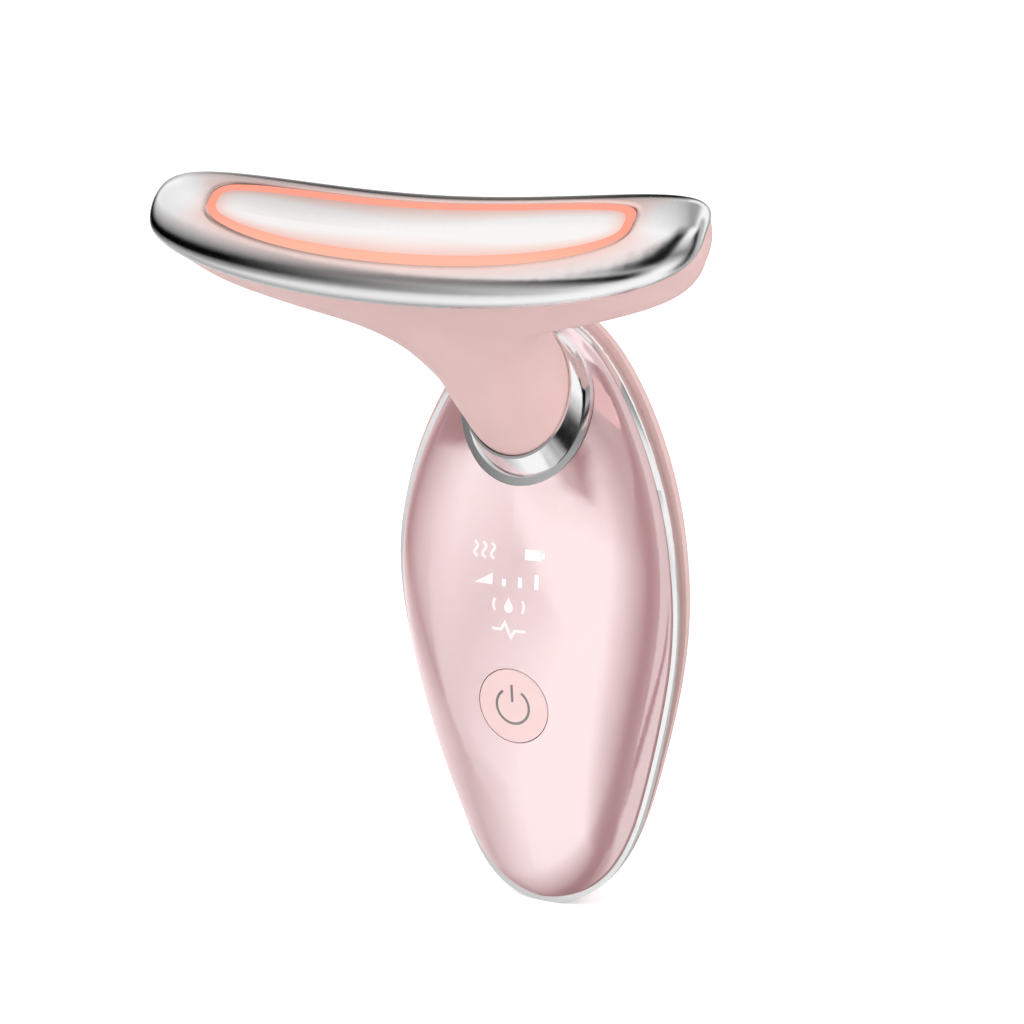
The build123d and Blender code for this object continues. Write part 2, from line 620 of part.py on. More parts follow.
def button_pieces(outer):
    below = BUTTON_BOTTOM - BUTTON_FLANGE_THICKNESS
    cap = rod(0, CROWN_Z, -FAR / 2, BUTTON_BOTTOM, BUTTON_RADIUS) & outer
    cap += rod(0, CROWN_Z, below, BUTTON_BOTTOM, BUTTON_RADIUS + BUTTON_FLANGE)
    foil_depth = rod(0, CROWN_Z, -FAR / 2, BUTTON_BOTTOM, BUTTON_RADIUS) & outer
    foil_depth -= Pos(0, SYMBOL_DEPTH, 0) * outer
    foil = [(bar & foil_depth).solid() for bar in symbol_bar()]
    for piece in foil:
        cap -= piece
    return cap.solid(), foil


def tact_switch():
    half = SWITCH_SIDE / 2
    body = block((-half, half), (BOARD_FRONT - SWITCH_HEIGHT, BOARD_FRONT), (CROWN_Z - half, CROWN_Z + half))
    return body - rod(0, CROWN_Z, -FAR, BOARD_FRONT - SWITCH_FLOOR, PLUNGER_RADIUS + PLUNGER_CLEARANCE)


def switch_plunger():
    return rod(0, CROWN_Z, BUTTON_BOTTOM, BOARD_FRONT - SWITCH_FLOOR - BUTTON_TRAVEL, PLUNGER_RADIUS)


# ================================================================ main board and display
def board_plate():
    """Main board outline as a plate."""
    height = BOARD_TOP - BOARD_BOTTOM
    plate = facing_back(0, BOARD_FRONT, BOARD_BOTTOM + height / 2)
    outline_face = RectangleRounded(2 * BOARD_HALF_WIDTH, height, BOARD_CORNER)
    return (plate * extrude(outline_face, BOARD_THICKNESS)).solid()


def main_board():
    board = board_plate()
    for x, z in BOARD_SCREWS:
        board -= rod(x, z, BOARD_FRONT, BOARD_REAR, SCREW_RADIUS + HOLE_CLEARANCE)
    return board.solid()


def board_screws():
    return [facing_front(x, BOARD_REAR, z) * screw(BOARD_THICKNESS + SCREW_GRIP) for x, z in BOARD_SCREWS]


def baffle_bar(inset):
    """Bar along Y with the outline of the display's light box."""
    return block((-BAFFLE_HALF_WIDTH + inset, BAFFLE_HALF_WIDTH - inset), (-FAR, BOARD_FRONT),
                 (BAFFLE_BOTTOM + inset, BAFFLE_TOP - inset))


def display_rows():
    """Heights of the partitions between the rows of the display."""
    pitch = (BAFFLE_TOP - BAFFLE_BOTTOM) / 4
    return [BAFFLE_BOTTOM + pitch * i for i in (1, 2, 3)]


def display_baffle():
    box = baffle_bar(0) - baffle_bar(BAFFLE_WALL)
    for z in display_rows():
        box += block((-BAFFLE_HALF_WIDTH, BAFFLE_HALF_WIDTH), (-FAR, BOARD_FRONT), (z - BAFFLE_WALL / 2, z + BAFFLE_WALL / 2))
    return (box & handle_form(COVER_WALL + DIFFUSER_THICKNESS + 2 * SEAM, front_setback)).solid()


def display_diffuser():
    film = handle_form(COVER_WALL + SEAM, front_setback)
    film -= handle_form(COVER_WALL + SEAM + DIFFUSER_THICKNESS, front_setback)
    return (film & baffle_bar(0)).solid()


def display_leds():
    pitch = (BAFFLE_TOP - BAFFLE_BOTTOM) / 4
    lamps = []
    for row in range(4):
        for x in (-BAFFLE_HALF_WIDTH / 2, BAFFLE_HALF_WIDTH / 2):
            z = BAFFLE_BOTTOM + pitch * (row + 0.5)
            lamps.append(block((x - LED[0] / 2, x + LED[0] / 2), (BOARD_FRONT - LED[2], BOARD_FRONT),
                               (z - LED[1] / 2, z + LED[1] / 2)))
    return lamps


def board_components():
    """Controller, skin-current coil, charger, capacitors and the harness socket, all behind the board."""
    rear = BOARD_REAR
    half_width = 2 * HARNESS_PITCH + SOCKET_MARGIN
    socket = block((-half_width, half_width), (rear, rear + SOCKET_DEPTH), (SOCKET_BOTTOM, SOCKET_TOP))
    for x in harness_places():
        hole = Plane(origin=(x, rear + SOCKET_DEPTH / 2, SOCKET_TOP - SOCKET_HOLE))
        socket -= Solid.make_cylinder(HARNESS_WIRE / 2 + PILOT_CLEARANCE, SOCKET_HOLE, hole)
    chips = [block(sides, (rear, rear + depth), heights) for sides, depth, heights in (CONTROLLER, CHARGER)]
    outer, inner = (rod(*COIL_PLACE, rear, rear + COIL_DEPTH, radius) for radius in COIL_RADII)
    length, depth, height = CAPACITOR_SIZE
    heights = (CAPACITOR_BOTTOM, CAPACITOR_BOTTOM + height)
    capacitors = [block((x, x + length), (rear, rear + depth), heights) for x in CAPACITOR_PLACES]
    return [socket.solid(), *chips, (outer - inner).solid(), *capacitors]


def harness_places():
    return [HARNESS_PITCH * (i - 1.5) for i in range(4)]


def trim_contact():
    """Leaf spring from the main board to the inside of the trim ring, for the skin current."""
    tip = half_width_at(CONTACT_Z, TRIM_WIDTH) - 3 * SEAM
    rear, bend = BOARD_REAR, tip - CONTACT_TIP
    foot, arm = BOARD_HALF_WIDTH - CONTACT_FOOT, BOARD_HALF_WIDTH + CONTACT_ARM
    front = [(foot, rear), (arm, rear), (bend, rear + CONTACT_RISES[0]), (tip, rear + CONTACT_RISES[1])]
    points = front + [(x, y + CONTACT_LEAF) for x, y in reversed(front)]
    low = CONTACT_Z - CONTACT_WIDTH / 2
    face = Face(Wire(Polyline(*[(x, y, low) for x, y in points], close=True).edges()))
    return Solid.extrude(face, Vector(0, 0, CONTACT_WIDTH))


# ================================================================ battery and charging
def battery():
    cell = block((-BATTERY_HALF_WIDTH, BATTERY_HALF_WIDTH), (BATTERY_FRONT, BATTERY_FRONT + BATTERY_THICKNESS),
                 (BATTERY_BOTTOM, BATTERY_TOP))
    return cell.fillet(BATTERY_CORNER, cell.edges().filter_by(Axis.Z))


def battery_pad():
    pad = block((-PAD_HALF_WIDTH, PAD_HALF_WIDTH), (BATTERY_FRONT + BATTERY_THICKNESS, FAR),
                (BATTERY_BOTTOM + PAD_MARGIN, BATTERY_TOP - PAD_MARGIN))
    return (pad & handle_form(COVER_WALL + SEAM, back_setback)).solid()


def battery_leads():
    leads = []
    for x in LEAD_PLACES:
        top = SOCKET_BOTTOM - WIRE
        leads.append(wire([(x, BATTERY_FRONT + BATTERY_THICKNESS / 2, BATTERY_TOP),
                           (x, BATTERY_FRONT + BATTERY_THICKNESS / 2, top), (x, BOARD_REAR, top)], WIRE))
    return leads


def usb_hollow(grow):
    return slot(USB_WIDTH / 2 - USB_WALL + grow, USB_HEIGHT / 2 - USB_WALL + grow, CHARGE_BOARD_REAR, SEAT_Y, PORT_Z)


def usb_shell():
    body = slot(USB_WIDTH / 2, USB_HEIGHT / 2, CHARGE_BOARD_REAR, SEAT_Y - SEAM, PORT_Z)
    return (body - usb_hollow(0)).solid()


def usb_tongue():
    base = usb_hollow(-SEAM / 2) & block((-FAR, FAR), (-FAR, CHARGE_BOARD_REAR + TONGUE_SETBACK), (-FAR, FAR))
    blade = block((-TONGUE_HALF_WIDTH, TONGUE_HALF_WIDTH), (CHARGE_BOARD_REAR, SEAT_Y - TONGUE_SETBACK),
                  (PORT_Z - TONGUE_THICKNESS / 2, PORT_Z + TONGUE_THICKNESS / 2))
    return (base + blade).solid()


def charge_board():
    board = block((-CHARGE_BOARD_HALF_WIDTH, CHARGE_BOARD_HALF_WIDTH), (CHARGE_BOARD_FRONT, CHARGE_BOARD_REAR),
                  (CHARGE_BOARD_BOTTOM, CHARGE_BOARD_TOP))
    for x, z in CHARGE_SCREWS:
        board -= rod(x, z, CHARGE_BOARD_FRONT, CHARGE_BOARD_REAR, SCREW_RADIUS + HOLE_CLEARANCE)
    return board.solid()


def charge_screws():
    return [facing_back(x, CHARGE_BOARD_FRONT, z) * screw(CHARGE_BOARD_THICKNESS + SCREW_GRIP) for x, z in CHARGE_SCREWS]


def charge_leads():
    y = BOARD_FRONT + BOARD_THICKNESS / 2
    z = CHARGE_BOARD_TOP - 1.2 * WIRE
    return [wire([(x, CHARGE_BOARD_FRONT, z), (x, y, z), (x, y, BOARD_BOTTOM)], WIRE) for x in (-WIRE, WIRE)]


# ================================================================ neck joint
def neck_clamp():
    half_width = NECK_RADIUS + CLAMP_MARGIN
    shift = neck_shift(-BOSS_DEPTH)
    plate = collar_plate(half_width, half_width * NECK_OVAL_RATIO, CLAMP_LEVEL, CLAMP_LEVEL + CLAMP_THICKNESS, shift)
    hole_shift = neck_shift(CLAMP_LEVEL)
    plate -= Solid.make_cylinder(CLAMP_HOLE, FAR, Plane(origin=(0, hole_shift, -FAR / 2)))
    for x in CLAMP_SCREWS:
        plate -= Solid.make_cylinder(SCREW_RADIUS + HOLE_CLEARANCE, FAR, Plane(origin=(x, shift, -FAR / 2)))
    return (COLLAR * plate).solid()


def clamp_screws():
    return [COLLAR * Pos(x, neck_shift(-BOSS_DEPTH), CLAMP_LEVEL) * screw(CLAMP_THICKNESS + SEAM + SCREW_GRIP)
            for x in CLAMP_SCREWS]


# ================================================================ head
def head_shell():
    outer = flare_form(0)
    hollow = flare_form(HEAD_WALL) & Pos(0, 0, -CAVITY_DEPTH) * Box(2 * FAR, 2 * FAR, 2 * FAR, align=(
        Align.CENTER, Align.CENTER, Align.MIN))
    shell = outer - hollow - neck_bar(NECK_BORE)
    web = flare_form(HEAD_WALL / 2)
    for u in SADDLE_PLACES:
        rib = Pos(u, 0, MOTOR_LEVEL) * Box(SADDLE_THICKNESS, 2 * HEAD_HALF_WIDTH, FAR, align=(
            Align.CENTER, Align.CENTER, Align.MAX))
        rib &= Pos(0, 0, -CAVITY_DEPTH - HEAD_WALL) * Box(FAR, FAR, FAR, align=(Align.CENTER, Align.CENTER, Align.MIN))
        shell += (rib & web) - cross_rod(-FAR, FAR, SLEEVE_RADIUS + SEAM)
    board_under = HEAD_BOARD_TOP - HEAD_BOARD_THICKNESS
    for u in (-HEAD_POST, HEAD_POST):
        v = ring_line(u)
        shell += head_rod(u, v, -FAR, board_under, HEAD_POST_RADIUS) & web
        shell -= head_rod(u, v, board_under - SCREW_GRIP - HOLE_CLEARANCE, board_under, SCREW_RADIUS + PILOT_CLEARANCE)
    shell -= above_joint(-GASKET_THICKNESS)
    shell = HEAD * shell
    end = Pos(0, 0, -BOSS_DEPTH) * Box(2 * FAR, 2 * FAR, FAR, align=(Align.CENTER, Align.CENTER, Align.MAX))
    shell -= COLLAR * end
    for x in CLAMP_SCREWS:
        pilot = Plane(origin=(x, neck_shift(-BOSS_DEPTH), -BOSS_DEPTH))
        shell -= COLLAR * Solid.make_cylinder(SCREW_RADIUS + PILOT_CLEARANCE, SCREW_GRIP + HOLE_CLEARANCE, pilot)
    return shell.solid()


def plate_gasket():
    band = head_prism(GASKET_INSET) - head_prism(GASKET_INSET + GASKET_WIDTH)
    return (HEAD * (band & (above_joint(-GASKET_THICKNESS + SEAM) - above_joint(-SEAM)))).solid()


def along_ring(grow):
    """Prism of the light ring's middle line, grown."""
    return ring_prism(RING_HALF_LENGTH + grow, RING_HALF_WIDTH + grow)


def treatment_plate(form, cavity):
    plate = form - cavity - along_ring(RING_WIDTH / 2 + INLAY_GAP)
    for u, offset, length, width in CLIPS:
        v, joint = head_line(u) + offset, joint_level(u)
        plate += block((u - length / 2, u + length / 2), (v - width / 2, v + width / 2),
                       (joint - CLIP_TIP, joint + CLIP_ROOT))
    return (HEAD * plate).solid()


def light_ring(form):
    band = along_ring(RING_WIDTH / 2) - along_ring(-RING_WIDTH / 2)
    return (HEAD * ((band & form) - plate_form(RING_DEPTH, PLATE_WALL))).solid()


def centre_plate(form, cavity):
    return (HEAD * ((form - cavity) & along_ring(-RING_WIDTH / 2 - INLAY_GAP))).solid()


def heater_film():
    film = plate_form(PLATE_WALL + SEAM, PLATE_WALL) & ring_prism(FILM_HALF_LENGTH, FILM_HALF_WIDTH)
    return (HEAD * (film - plate_form(PLATE_WALL + SEAM + FILM_THICKNESS, PLATE_WALL))).solid()


def thermistor():
    top = -PLATE_WALL - 2 * SEAM - FILM_THICKNESS
    return HEAD * (Pos(0, 0, top) * Box(1.8, 1.2, 0.9, align=(Align.CENTER, Align.CENTER, Align.MAX))).solid()


def head_board():
    low = HEAD_BOARD_TOP - HEAD_BOARD_THICKNESS
    board = ring_prism(HEAD_BOARD_HALF_LENGTH, HEAD_BOARD_HALF_WIDTH, low, HEAD_BOARD_TOP)
    for u in (-HEAD_POST, HEAD_POST):
        board -= head_rod(u, ring_line(u), low, HEAD_BOARD_TOP, SCREW_RADIUS + HOLE_CLEARANCE)
    return (HEAD * board).solid()


def head_board_screws():
    turned = [Pos(u, ring_line(u), HEAD_BOARD_TOP) * Rot(180, 0, 0) for u in (-HEAD_POST, HEAD_POST)]
    return [HEAD * place * screw(HEAD_BOARD_THICKNESS + SCREW_GRIP) for place in turned]


def head_leds():
    lamps = []
    for i in range(HEAD_LED_COUNT):
        a, b = superellipse(2 * pi * (i + 0.5) / HEAD_LED_COUNT, RING_SQUARENESS)
        u = HEAD_LED_TRACK[0] * a
        place = Pos(u, HEAD_LED_TRACK[1] * b + ring_line(u), HEAD_BOARD_TOP)
        lamps.append(HEAD * place * Box(*LED, align=(Align.CENTER, Align.CENTER, Align.MIN)).solid())
    return lamps


def contact_pins():
    reach = plate_form(PLATE_WALL + SEAM, PLATE_WALL)
    pins = []
    for u in (-PIN_PLACE, PIN_PLACE):
        bar = head_rod(u, ring_line(u), HEAD_BOARD_TOP, FAR, PIN_RADIUS)
        pins.append((HEAD * (bar & reach)).solid())
    return pins


def motor_can():
    can = cross_rod(MOTOR_LEFT, MOTOR_RIGHT, MOTOR_RADIUS)
    return (HEAD * (can - cross_rod(MOTOR_RIGHT - SHAFT_DEPTH, MOTOR_RIGHT, SHAFT_RADIUS + SHAFT_CLEARANCE))).solid()


def motor_sleeve():
    sleeve = cross_rod(SLEEVE_LEFT, SLEEVE_RIGHT, SLEEVE_RADIUS) - cross_rod(SLEEVE_LEFT, SLEEVE_RIGHT, MOTOR_RADIUS)
    return (HEAD * sleeve).solid()


def motor_shaft():
    return HEAD * cross_rod(MOTOR_RIGHT - SHAFT_DEPTH, SHAFT_END, SHAFT_RADIUS)


def motor_weight():
    disc = cross_rod(WEIGHT_LEFT, WEIGHT_RIGHT, WEIGHT_RADIUS)
    disc -= Pos(0, 0, MOTOR_LEVEL + SHAFT_RADIUS * 2) * Box(FAR, FAR, FAR, align=(Align.CENTER, Align.CENTER, Align.MIN))
    return (HEAD * (disc - cross_rod(WEIGHT_LEFT, WEIGHT_RIGHT, SHAFT_RADIUS))).solid()


def head_harness():
    """Wires from the head board past the motor and down the neck to the main board's socket."""
    route = [HEAD * Pos(0, v, n) for v, n in HARNESS_IN_HEAD]
    points = [(place.position.Y, place.position.Z) for place in route] + list(HARNESS_IN_HANDLE)
    points.append((BOARD_REAR + SOCKET_DEPTH / 2, SOCKET_TOP - SOCKET_HOLE))
    return [wire([(x, y, z) for y, z in points], HARNESS_WIRE) for x in harness_places()]


def build():
    """Every piece by name, in the drawing's own frame."""
    front = [handle_form(inset, front_setback) for inset in (0, COVER_WALL, COVER_WALL / 2)]
    back = [handle_form(inset, back_setback) for inset in (0, COVER_WALL, COVER_WALL / 2)]
    form, cavity = plate_form(0), plate_form(PLATE_WALL, PLATE_WALL)
    skin = front[0] - handle_form(ICON_DEPTH, front_setback)
    marks = [(mark & skin).solid() for mark in display_marks()]
    button, symbol = button_pieces(front[0])
    return {
        "front_cover": front_cover(*front, marks),
        "display_icons": marks,
        "rear_cover": rear_cover(*back),
        "trim_ring": trim_ring(),
        "collar_ring": collar_ring(),
        "power_button": button,
        "power_symbol": symbol,
        "tact_switch": tact_switch(),
        "switch_plunger": switch_plunger(),
        "main_board": main_board(),
        "board_screws": board_screws(),
        "board_components": board_components(),
        "display_baffle": display_baffle(),
        "display_diffuser": display_diffuser(),
        "display_leds": display_leds(),
        "trim_contact": trim_contact(),
        "battery": battery(),
        "battery_pad": battery_pad(),
        "battery_leads": battery_leads(),
        "charge_board": charge_board(),
        "charge_screws": charge_screws(),
        "charge_leads": charge_leads(),
        "usb_shell": usb_shell(),
        "usb_tongue": usb_tongue(),
        "neck_clamp": neck_clamp(),
        "clamp_screws": clamp_screws(),
        "head_shell": head_shell(),
        "plate_gasket": plate_gasket(),
        "treatment_plate": treatment_plate(form, cavity),
        "light_ring": light_ring(form),
        "centre_plate": centre_plate(form, cavity),
        "heater_film": heater_film(),
        "thermistor": thermistor(),
        "head_board": head_board(),
        "head_board_screws": head_board_screws(),
        "head_leds": head_leds(),
        "contact_pins": contact_pins(),
        "motor_can": motor_can(),
        "motor_sleeve": motor_sleeve(),
        "motor_shaft": motor_shaft(),
        "motor_weight": motor_weight(),
        "head_harness": head_harness(),
    }


def main():
    os.makedirs("parts", exist_ok=True)
    to_datum = Pos(0, -SEAT_Y, -PORT_Z)
    for name, piece in build().items():
        shape = Compound(piece) if isinstance(piece, list) else piece
        export_step(to_datum * shape, f"parts/{name}.step")


if __name__ == "__main__":
    main()
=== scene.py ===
import math

import bmesh
import bpy
from bpy.props import FloatProperty, FloatVectorProperty, IntProperty, PointerProperty
from mathutils import Matrix, Vector


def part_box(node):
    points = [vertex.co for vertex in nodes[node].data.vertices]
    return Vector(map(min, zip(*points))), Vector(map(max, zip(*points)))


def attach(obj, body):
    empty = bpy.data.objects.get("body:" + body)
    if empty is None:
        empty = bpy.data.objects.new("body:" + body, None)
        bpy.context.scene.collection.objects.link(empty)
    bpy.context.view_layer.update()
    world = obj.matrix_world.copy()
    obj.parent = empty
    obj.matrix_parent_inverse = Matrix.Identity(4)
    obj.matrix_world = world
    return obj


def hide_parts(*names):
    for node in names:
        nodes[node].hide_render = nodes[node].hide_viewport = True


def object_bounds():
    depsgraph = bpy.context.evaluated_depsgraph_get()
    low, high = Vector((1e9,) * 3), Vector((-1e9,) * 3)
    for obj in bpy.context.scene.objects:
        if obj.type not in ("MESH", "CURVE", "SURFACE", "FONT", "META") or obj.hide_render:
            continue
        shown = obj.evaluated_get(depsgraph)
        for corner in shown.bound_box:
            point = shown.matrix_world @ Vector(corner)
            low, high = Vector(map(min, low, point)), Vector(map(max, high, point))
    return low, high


bl_info = {
    "name": "Facial Toning Wand",
    "version": (1, 0, 0),
    "blender": (4, 5, 0),
    "location": "3D View > Sidebar > Toning Wand",
    "description": "Finishes of a hand-held facial toning wand with a lit metal head, and its studio",
    "category": "Object",
}

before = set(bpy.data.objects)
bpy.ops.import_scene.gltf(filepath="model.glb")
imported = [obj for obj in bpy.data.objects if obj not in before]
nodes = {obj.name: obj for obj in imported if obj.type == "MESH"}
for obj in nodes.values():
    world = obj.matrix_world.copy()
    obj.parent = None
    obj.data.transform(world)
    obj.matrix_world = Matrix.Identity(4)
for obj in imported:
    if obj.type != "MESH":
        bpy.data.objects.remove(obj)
cad_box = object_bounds()


# ---------------------------------------------------------------- settings

def colour(name, description, value):
    return FloatVectorProperty(name=name, description=description, default=value, subtype="COLOR", size=3,
                               min=0.0, max=1.0)


class CoverSettings(bpy.types.PropertyGroup):
    """Pink mouldings: the lacquered front, the satin back, head and neck, and the button."""
    lacquer_light: colour("Lacquer, light", "Pale tone of the lacquered front panel", (0.88, 0.51, 0.53))
    lacquer_dark: colour("Lacquer, dark", "Deeper tone that drifts through the front", (0.84, 0.47, 0.49))
    satin_light: colour("Satin, light", "Pale tone of the satin head, neck and back", (0.74, 0.51, 0.49))
    satin_dark: colour("Satin, dark", "Deeper tone that drifts through the satin pink", (0.70, 0.47, 0.45))
    button_light: colour("Button, light", "Pale tone of the power button", (0.84, 0.62, 0.61))
    button_dark: colour("Button, dark", "Deeper tone of the power button", (0.80, 0.58, 0.57))
    lacquer_gloss: FloatProperty(name="Lacquer roughness", description="Roughness of the front's lacquer",
                                 default=0.07, min=0.0, max=1.0, subtype="FACTOR")
    lacquer_index: FloatProperty(name="Lacquer index",
                                 description="Index of refraction that makes the lacquer's shine",
                                 default=7.0, min=1.0, max=20.0)
    satin_gloss: FloatProperty(name="Satin roughness", description="Roughness of the satin pink plastic",
                               default=0.42, min=0.0, max=1.0, subtype="FACTOR")
    grain_size: FloatProperty(name="Mould grain", description="Size of the fine grain left by the mould",
                              default=0.00035, min=0.0001, max=0.005, unit="LENGTH", precision=5)


class MetalSettings(bpy.types.PropertyGroup):
    """Bright metal: the treatment plate, the collar and the trim ring."""
    chrome_light: colour("Chrome, light", "Bright tone of the plating", (0.94, 0.94, 0.94))
    chrome_dark: colour("Chrome, dark", "Slightly deeper tone of the plating", (0.90, 0.90, 0.91))
    plate_light: colour("Inner plate, light", "Bright tone of the plate inside the ring", (0.97, 0.95, 0.94))
    plate_dark: colour("Inner plate, dark", "Deeper tone of the plate inside the ring", (0.94, 0.91, 0.90))
    polish: FloatProperty(name="Polish roughness", description="Roughness of the polished metal",
                          default=0.085, min=0.0, max=1.0, subtype="FACTOR")
    haze: FloatProperty(name="Handling haze", description="How much the roughness drifts across the metal",
                        default=0.02, min=0.0, max=1.0, subtype="FACTOR")
    even_reach: FloatProperty(name="Evening reach",
                              description="Reach over which the head's mirror is evened out",
                              default=0.0015, min=0.0, unit="LENGTH", precision=5)
    # painted glow: the lit ring's warm light, painted into the base colour of the metal beside the ring
    painted_ring_glow: colour("Ring light on metal", "Tint of the metal right beside the lit ring", (1.0, 0.55, 0.46))
    trim_round: FloatProperty(name="Trim rounding", description="Radius worked on the trim ring's edges",
                              default=0.00055, min=0.0, max=0.002, unit="LENGTH", precision=5)
    trim_steps: IntProperty(name="Trim rounding steps", description="Steps in the trim ring's rounded edges",
                            default=4, min=1, max=8)


class GlowSettings(bpy.types.PropertyGroup):
    """Light: the ring in the head and the marks in the front panel."""
    ring_far: colour("Ring, far side", "Colour of the lit ring on its far side", (1.0, 0.30, 0.21))
    ring_near: colour("Ring, near side", "Colour of the lit ring on its near side", (1.0, 0.45, 0.32))
    ring_strength: FloatProperty(name="Ring strength", description="Strength of the lit ring", default=1.0,
                                 min=0.0, max=20.0)
    mark_colour: colour("Marks", "Colour of the lit marks", (1.0, 0.97, 0.96))
    mark_bright: FloatProperty(name="Bright marks", description="Strength of the battery and level marks",
                               default=0.90, min=0.0, max=5.0)
    mark_faint: FloatProperty(name="Faint marks", description="Strength of the mode marks", default=0.52,
                              min=0.0, max=5.0)


class StudioSettings(bpy.types.PropertyGroup):
    """Camera, floor and soft light."""
    camera_place: FloatVectorProperty(name="Camera place", description="Where the camera stands",
                                      default=(0.206383, -0.364832, 0.171629), subtype="TRANSLATION",
                                      unit="LENGTH", size=3, precision=5)
    camera_turn: FloatProperty(name="Camera azimuth", description="Turn of the camera round the wand",
                               default=math.radians(30.459), subtype="ANGLE", unit="ROTATION")
    camera_rise: FloatProperty(name="Camera elevation", description="How far the camera looks down",
                               default=math.radians(17.03), subtype="ANGLE", unit="ROTATION")
    camera_roll: FloatProperty(name="Camera roll", description="Roll of the camera",
                               default=math.radians(-3.269), subtype="ANGLE", unit="ROTATION")
    lens: FloatProperty(name="Lens", description="Focal length in millimetres on a 36 mm wide sensor",
                        default=101.257, min=1.0)
    floor_colour: colour("Floor", "Colour of the floor", (0.86, 0.86, 0.86))
    ambient: FloatProperty(name="Surrounding light", description="Strength of the light from all round",
                           default=0.80, min=0.0, max=5.0)
    key_power: FloatProperty(name="Key lamp", description="Power of the large lamp at the upper left",
                             default=4.4, min=0.0, unit="POWER")
    fill_power: FloatProperty(name="Fill lamp", description="Power of the lamp at the right",
                              default=2.8, min=0.0, unit="POWER")


# ---------------------------------------------------------------- nodes

# places of the colour sockets of a Mix node, whose sockets of all kinds share the same few names
MIX_A, MIX_B, MIX_RESULT = 6, 7, 2


def add(tree, kind, inputs=None, **values):
    """A node with its values set, and its inputs written or linked."""
    node = tree.nodes.new(kind)
    for key, value in values.items():
        setattr(node, key, value)
    for key, value in (inputs or {}).items():
        if isinstance(value, bpy.types.NodeSocket):
            tree.links.new(value, node.inputs[key])
        else:
            node.inputs[key].default_value = value
    return node


def own_place(tree):
    """Each point's place in the object's own coordinates."""
    return add(tree, "ShaderNodeTexCoord").outputs["Object"]


def maths(tree, operation, *values):
    """One step of arithmetic on values or sockets."""
    return add(tree, "ShaderNodeMath", dict(enumerate(values)), operation=operation).outputs["Value"]


def ramp(tree, value, low, high, ends=(0.0, 1.0)):
    """Runs from the first end, at the low value, to the second, at the high one."""
    inputs = {"Value": value, "From Min": low, "From Max": high, "To Min": ends[0], "To Max": ends[1]}
    return add(tree, "ShaderNodeMapRange", inputs).outputs["Result"]


def mix(tree, factor, first, second, **values):
    """Mixes two colours by a factor."""
    inputs = {"Factor": factor, MIX_A: first, MIX_B: second}
    return add(tree, "ShaderNodeMix", inputs, data_type="RGBA", **values).outputs[MIX_RESULT]


def cloud(tree, scale, detail, roughness):
    """Noise over the object's own coordinates."""
    inputs = {"Vector": own_place(tree), "Scale": scale, "Detail": detail, "Roughness": roughness}
    return add(tree, "ShaderNodeTexNoise", inputs).outputs["Fac"]


# ---------------------------------------------------------------- node groups shared by the finishes

# the middle of the treatment face in metres, and the direction across it
FACE_PLACE = (0.0, -0.03665, 0.09384)
FACE_ACROSS = (0.0, 0.70463, 0.70957)
# the bent face, the light ring in it and how far the ring's light, painted on the metal, reaches, in
# millimetres
FACE_HALF_LENGTH = 44.0
RING_BEND = 3.85
RING_OFFSET = 0.3
RING_HALVES = (33.2, 4.5)
PAINTED_GLOW_REACH = 4.5
MILLIMETRES = 1000.0        # in a metre
RING_SQUARENESS = 3.2       # exponent of the ring's superellipse
# least values that keep the ring's distance off a division by 0
LEAST_TOTAL = 0.0001
LEAST_SLOPE = 0.001


def new_group(name, inputs, outputs):
    """An empty group, with the sockets that come in and those that go out."""
    group = bpy.data.node_groups.new(name, "ShaderNodeTree")
    for socket, kind, value in inputs:
        group.interface.new_socket(name=socket, in_out="INPUT", socket_type=kind).default_value = value
    for socket, kind in outputs:
        group.interface.new_socket(name=socket, in_out="OUTPUT", socket_type=kind)
    return group, group.nodes.new("NodeGroupInput").outputs, group.nodes.new("NodeGroupOutput").inputs


def tone_drift_group():
    """Colour that wanders between a light and a dark tone."""
    group, come, leave = new_group(
        "tone_drift",
        [("Light", "NodeSocketColor", (1, 1, 1, 1)), ("Dark", "NodeSocketColor", (0, 0, 0, 1)),
         ("Scale", "NodeSocketFloat", 60.0)],
        [("Colour", "NodeSocketColor")])
    share = ramp(group, cloud(group, come["Scale"], detail=3.0, roughness=0.5), low=0.35, high=0.65)
    group.links.new(mix(group, share, come["Dark"], come["Light"]), leave["Colour"])
    return group


def gloss_drift_group():
    """Roughness that wanders a little, as handling and polishing leave it."""
    group, come, leave = new_group(
        "gloss_drift",
        [("Low", "NodeSocketFloat", 0.2), ("High", "NodeSocketFloat", 0.3),
         ("Scale", "NodeSocketFloat", 90.0)],
        [("Roughness", "NodeSocketFloat")])
    wander = cloud(group, come["Scale"], detail=4.0, roughness=0.6)
    share = ramp(group, wander, low=0.3, high=0.7, ends=(come["Low"], come["High"]))
    group.links.new(share, leave["Roughness"])
    return group


def grain_group():
    """Fine height of a mould's grain or of a plating."""
    group, come, leave = new_group("grain", [("Scale", "NodeSocketFloat", 2500.0)],
                                   [("Height", "NodeSocketFloat")])
    group.links.new(cloud(group, come["Scale"], detail=2.0, roughness=0.55), leave["Height"])
    return group


def brushed_group():
    """Long fine lines along one direction, as a brush or a grinding wheel leaves them."""
    group, come, leave = new_group("brushed", [("Stretch", "NodeSocketVector", (300.0, 6000.0, 6000.0))],
                                   [("Lines", "NodeSocketFloat")])
    stretched = add(group, "ShaderNodeVectorMath", {0: own_place(group), 1: come["Stretch"]},
                    operation="MULTIPLY").outputs["Vector"]
    lines = add(group, "ShaderNodeTexNoise", {"Vector": stretched, "Scale": 1.0, "Detail": 3.0})
    group.links.new(lines.outputs["Fac"], leave["Lines"])
    return group


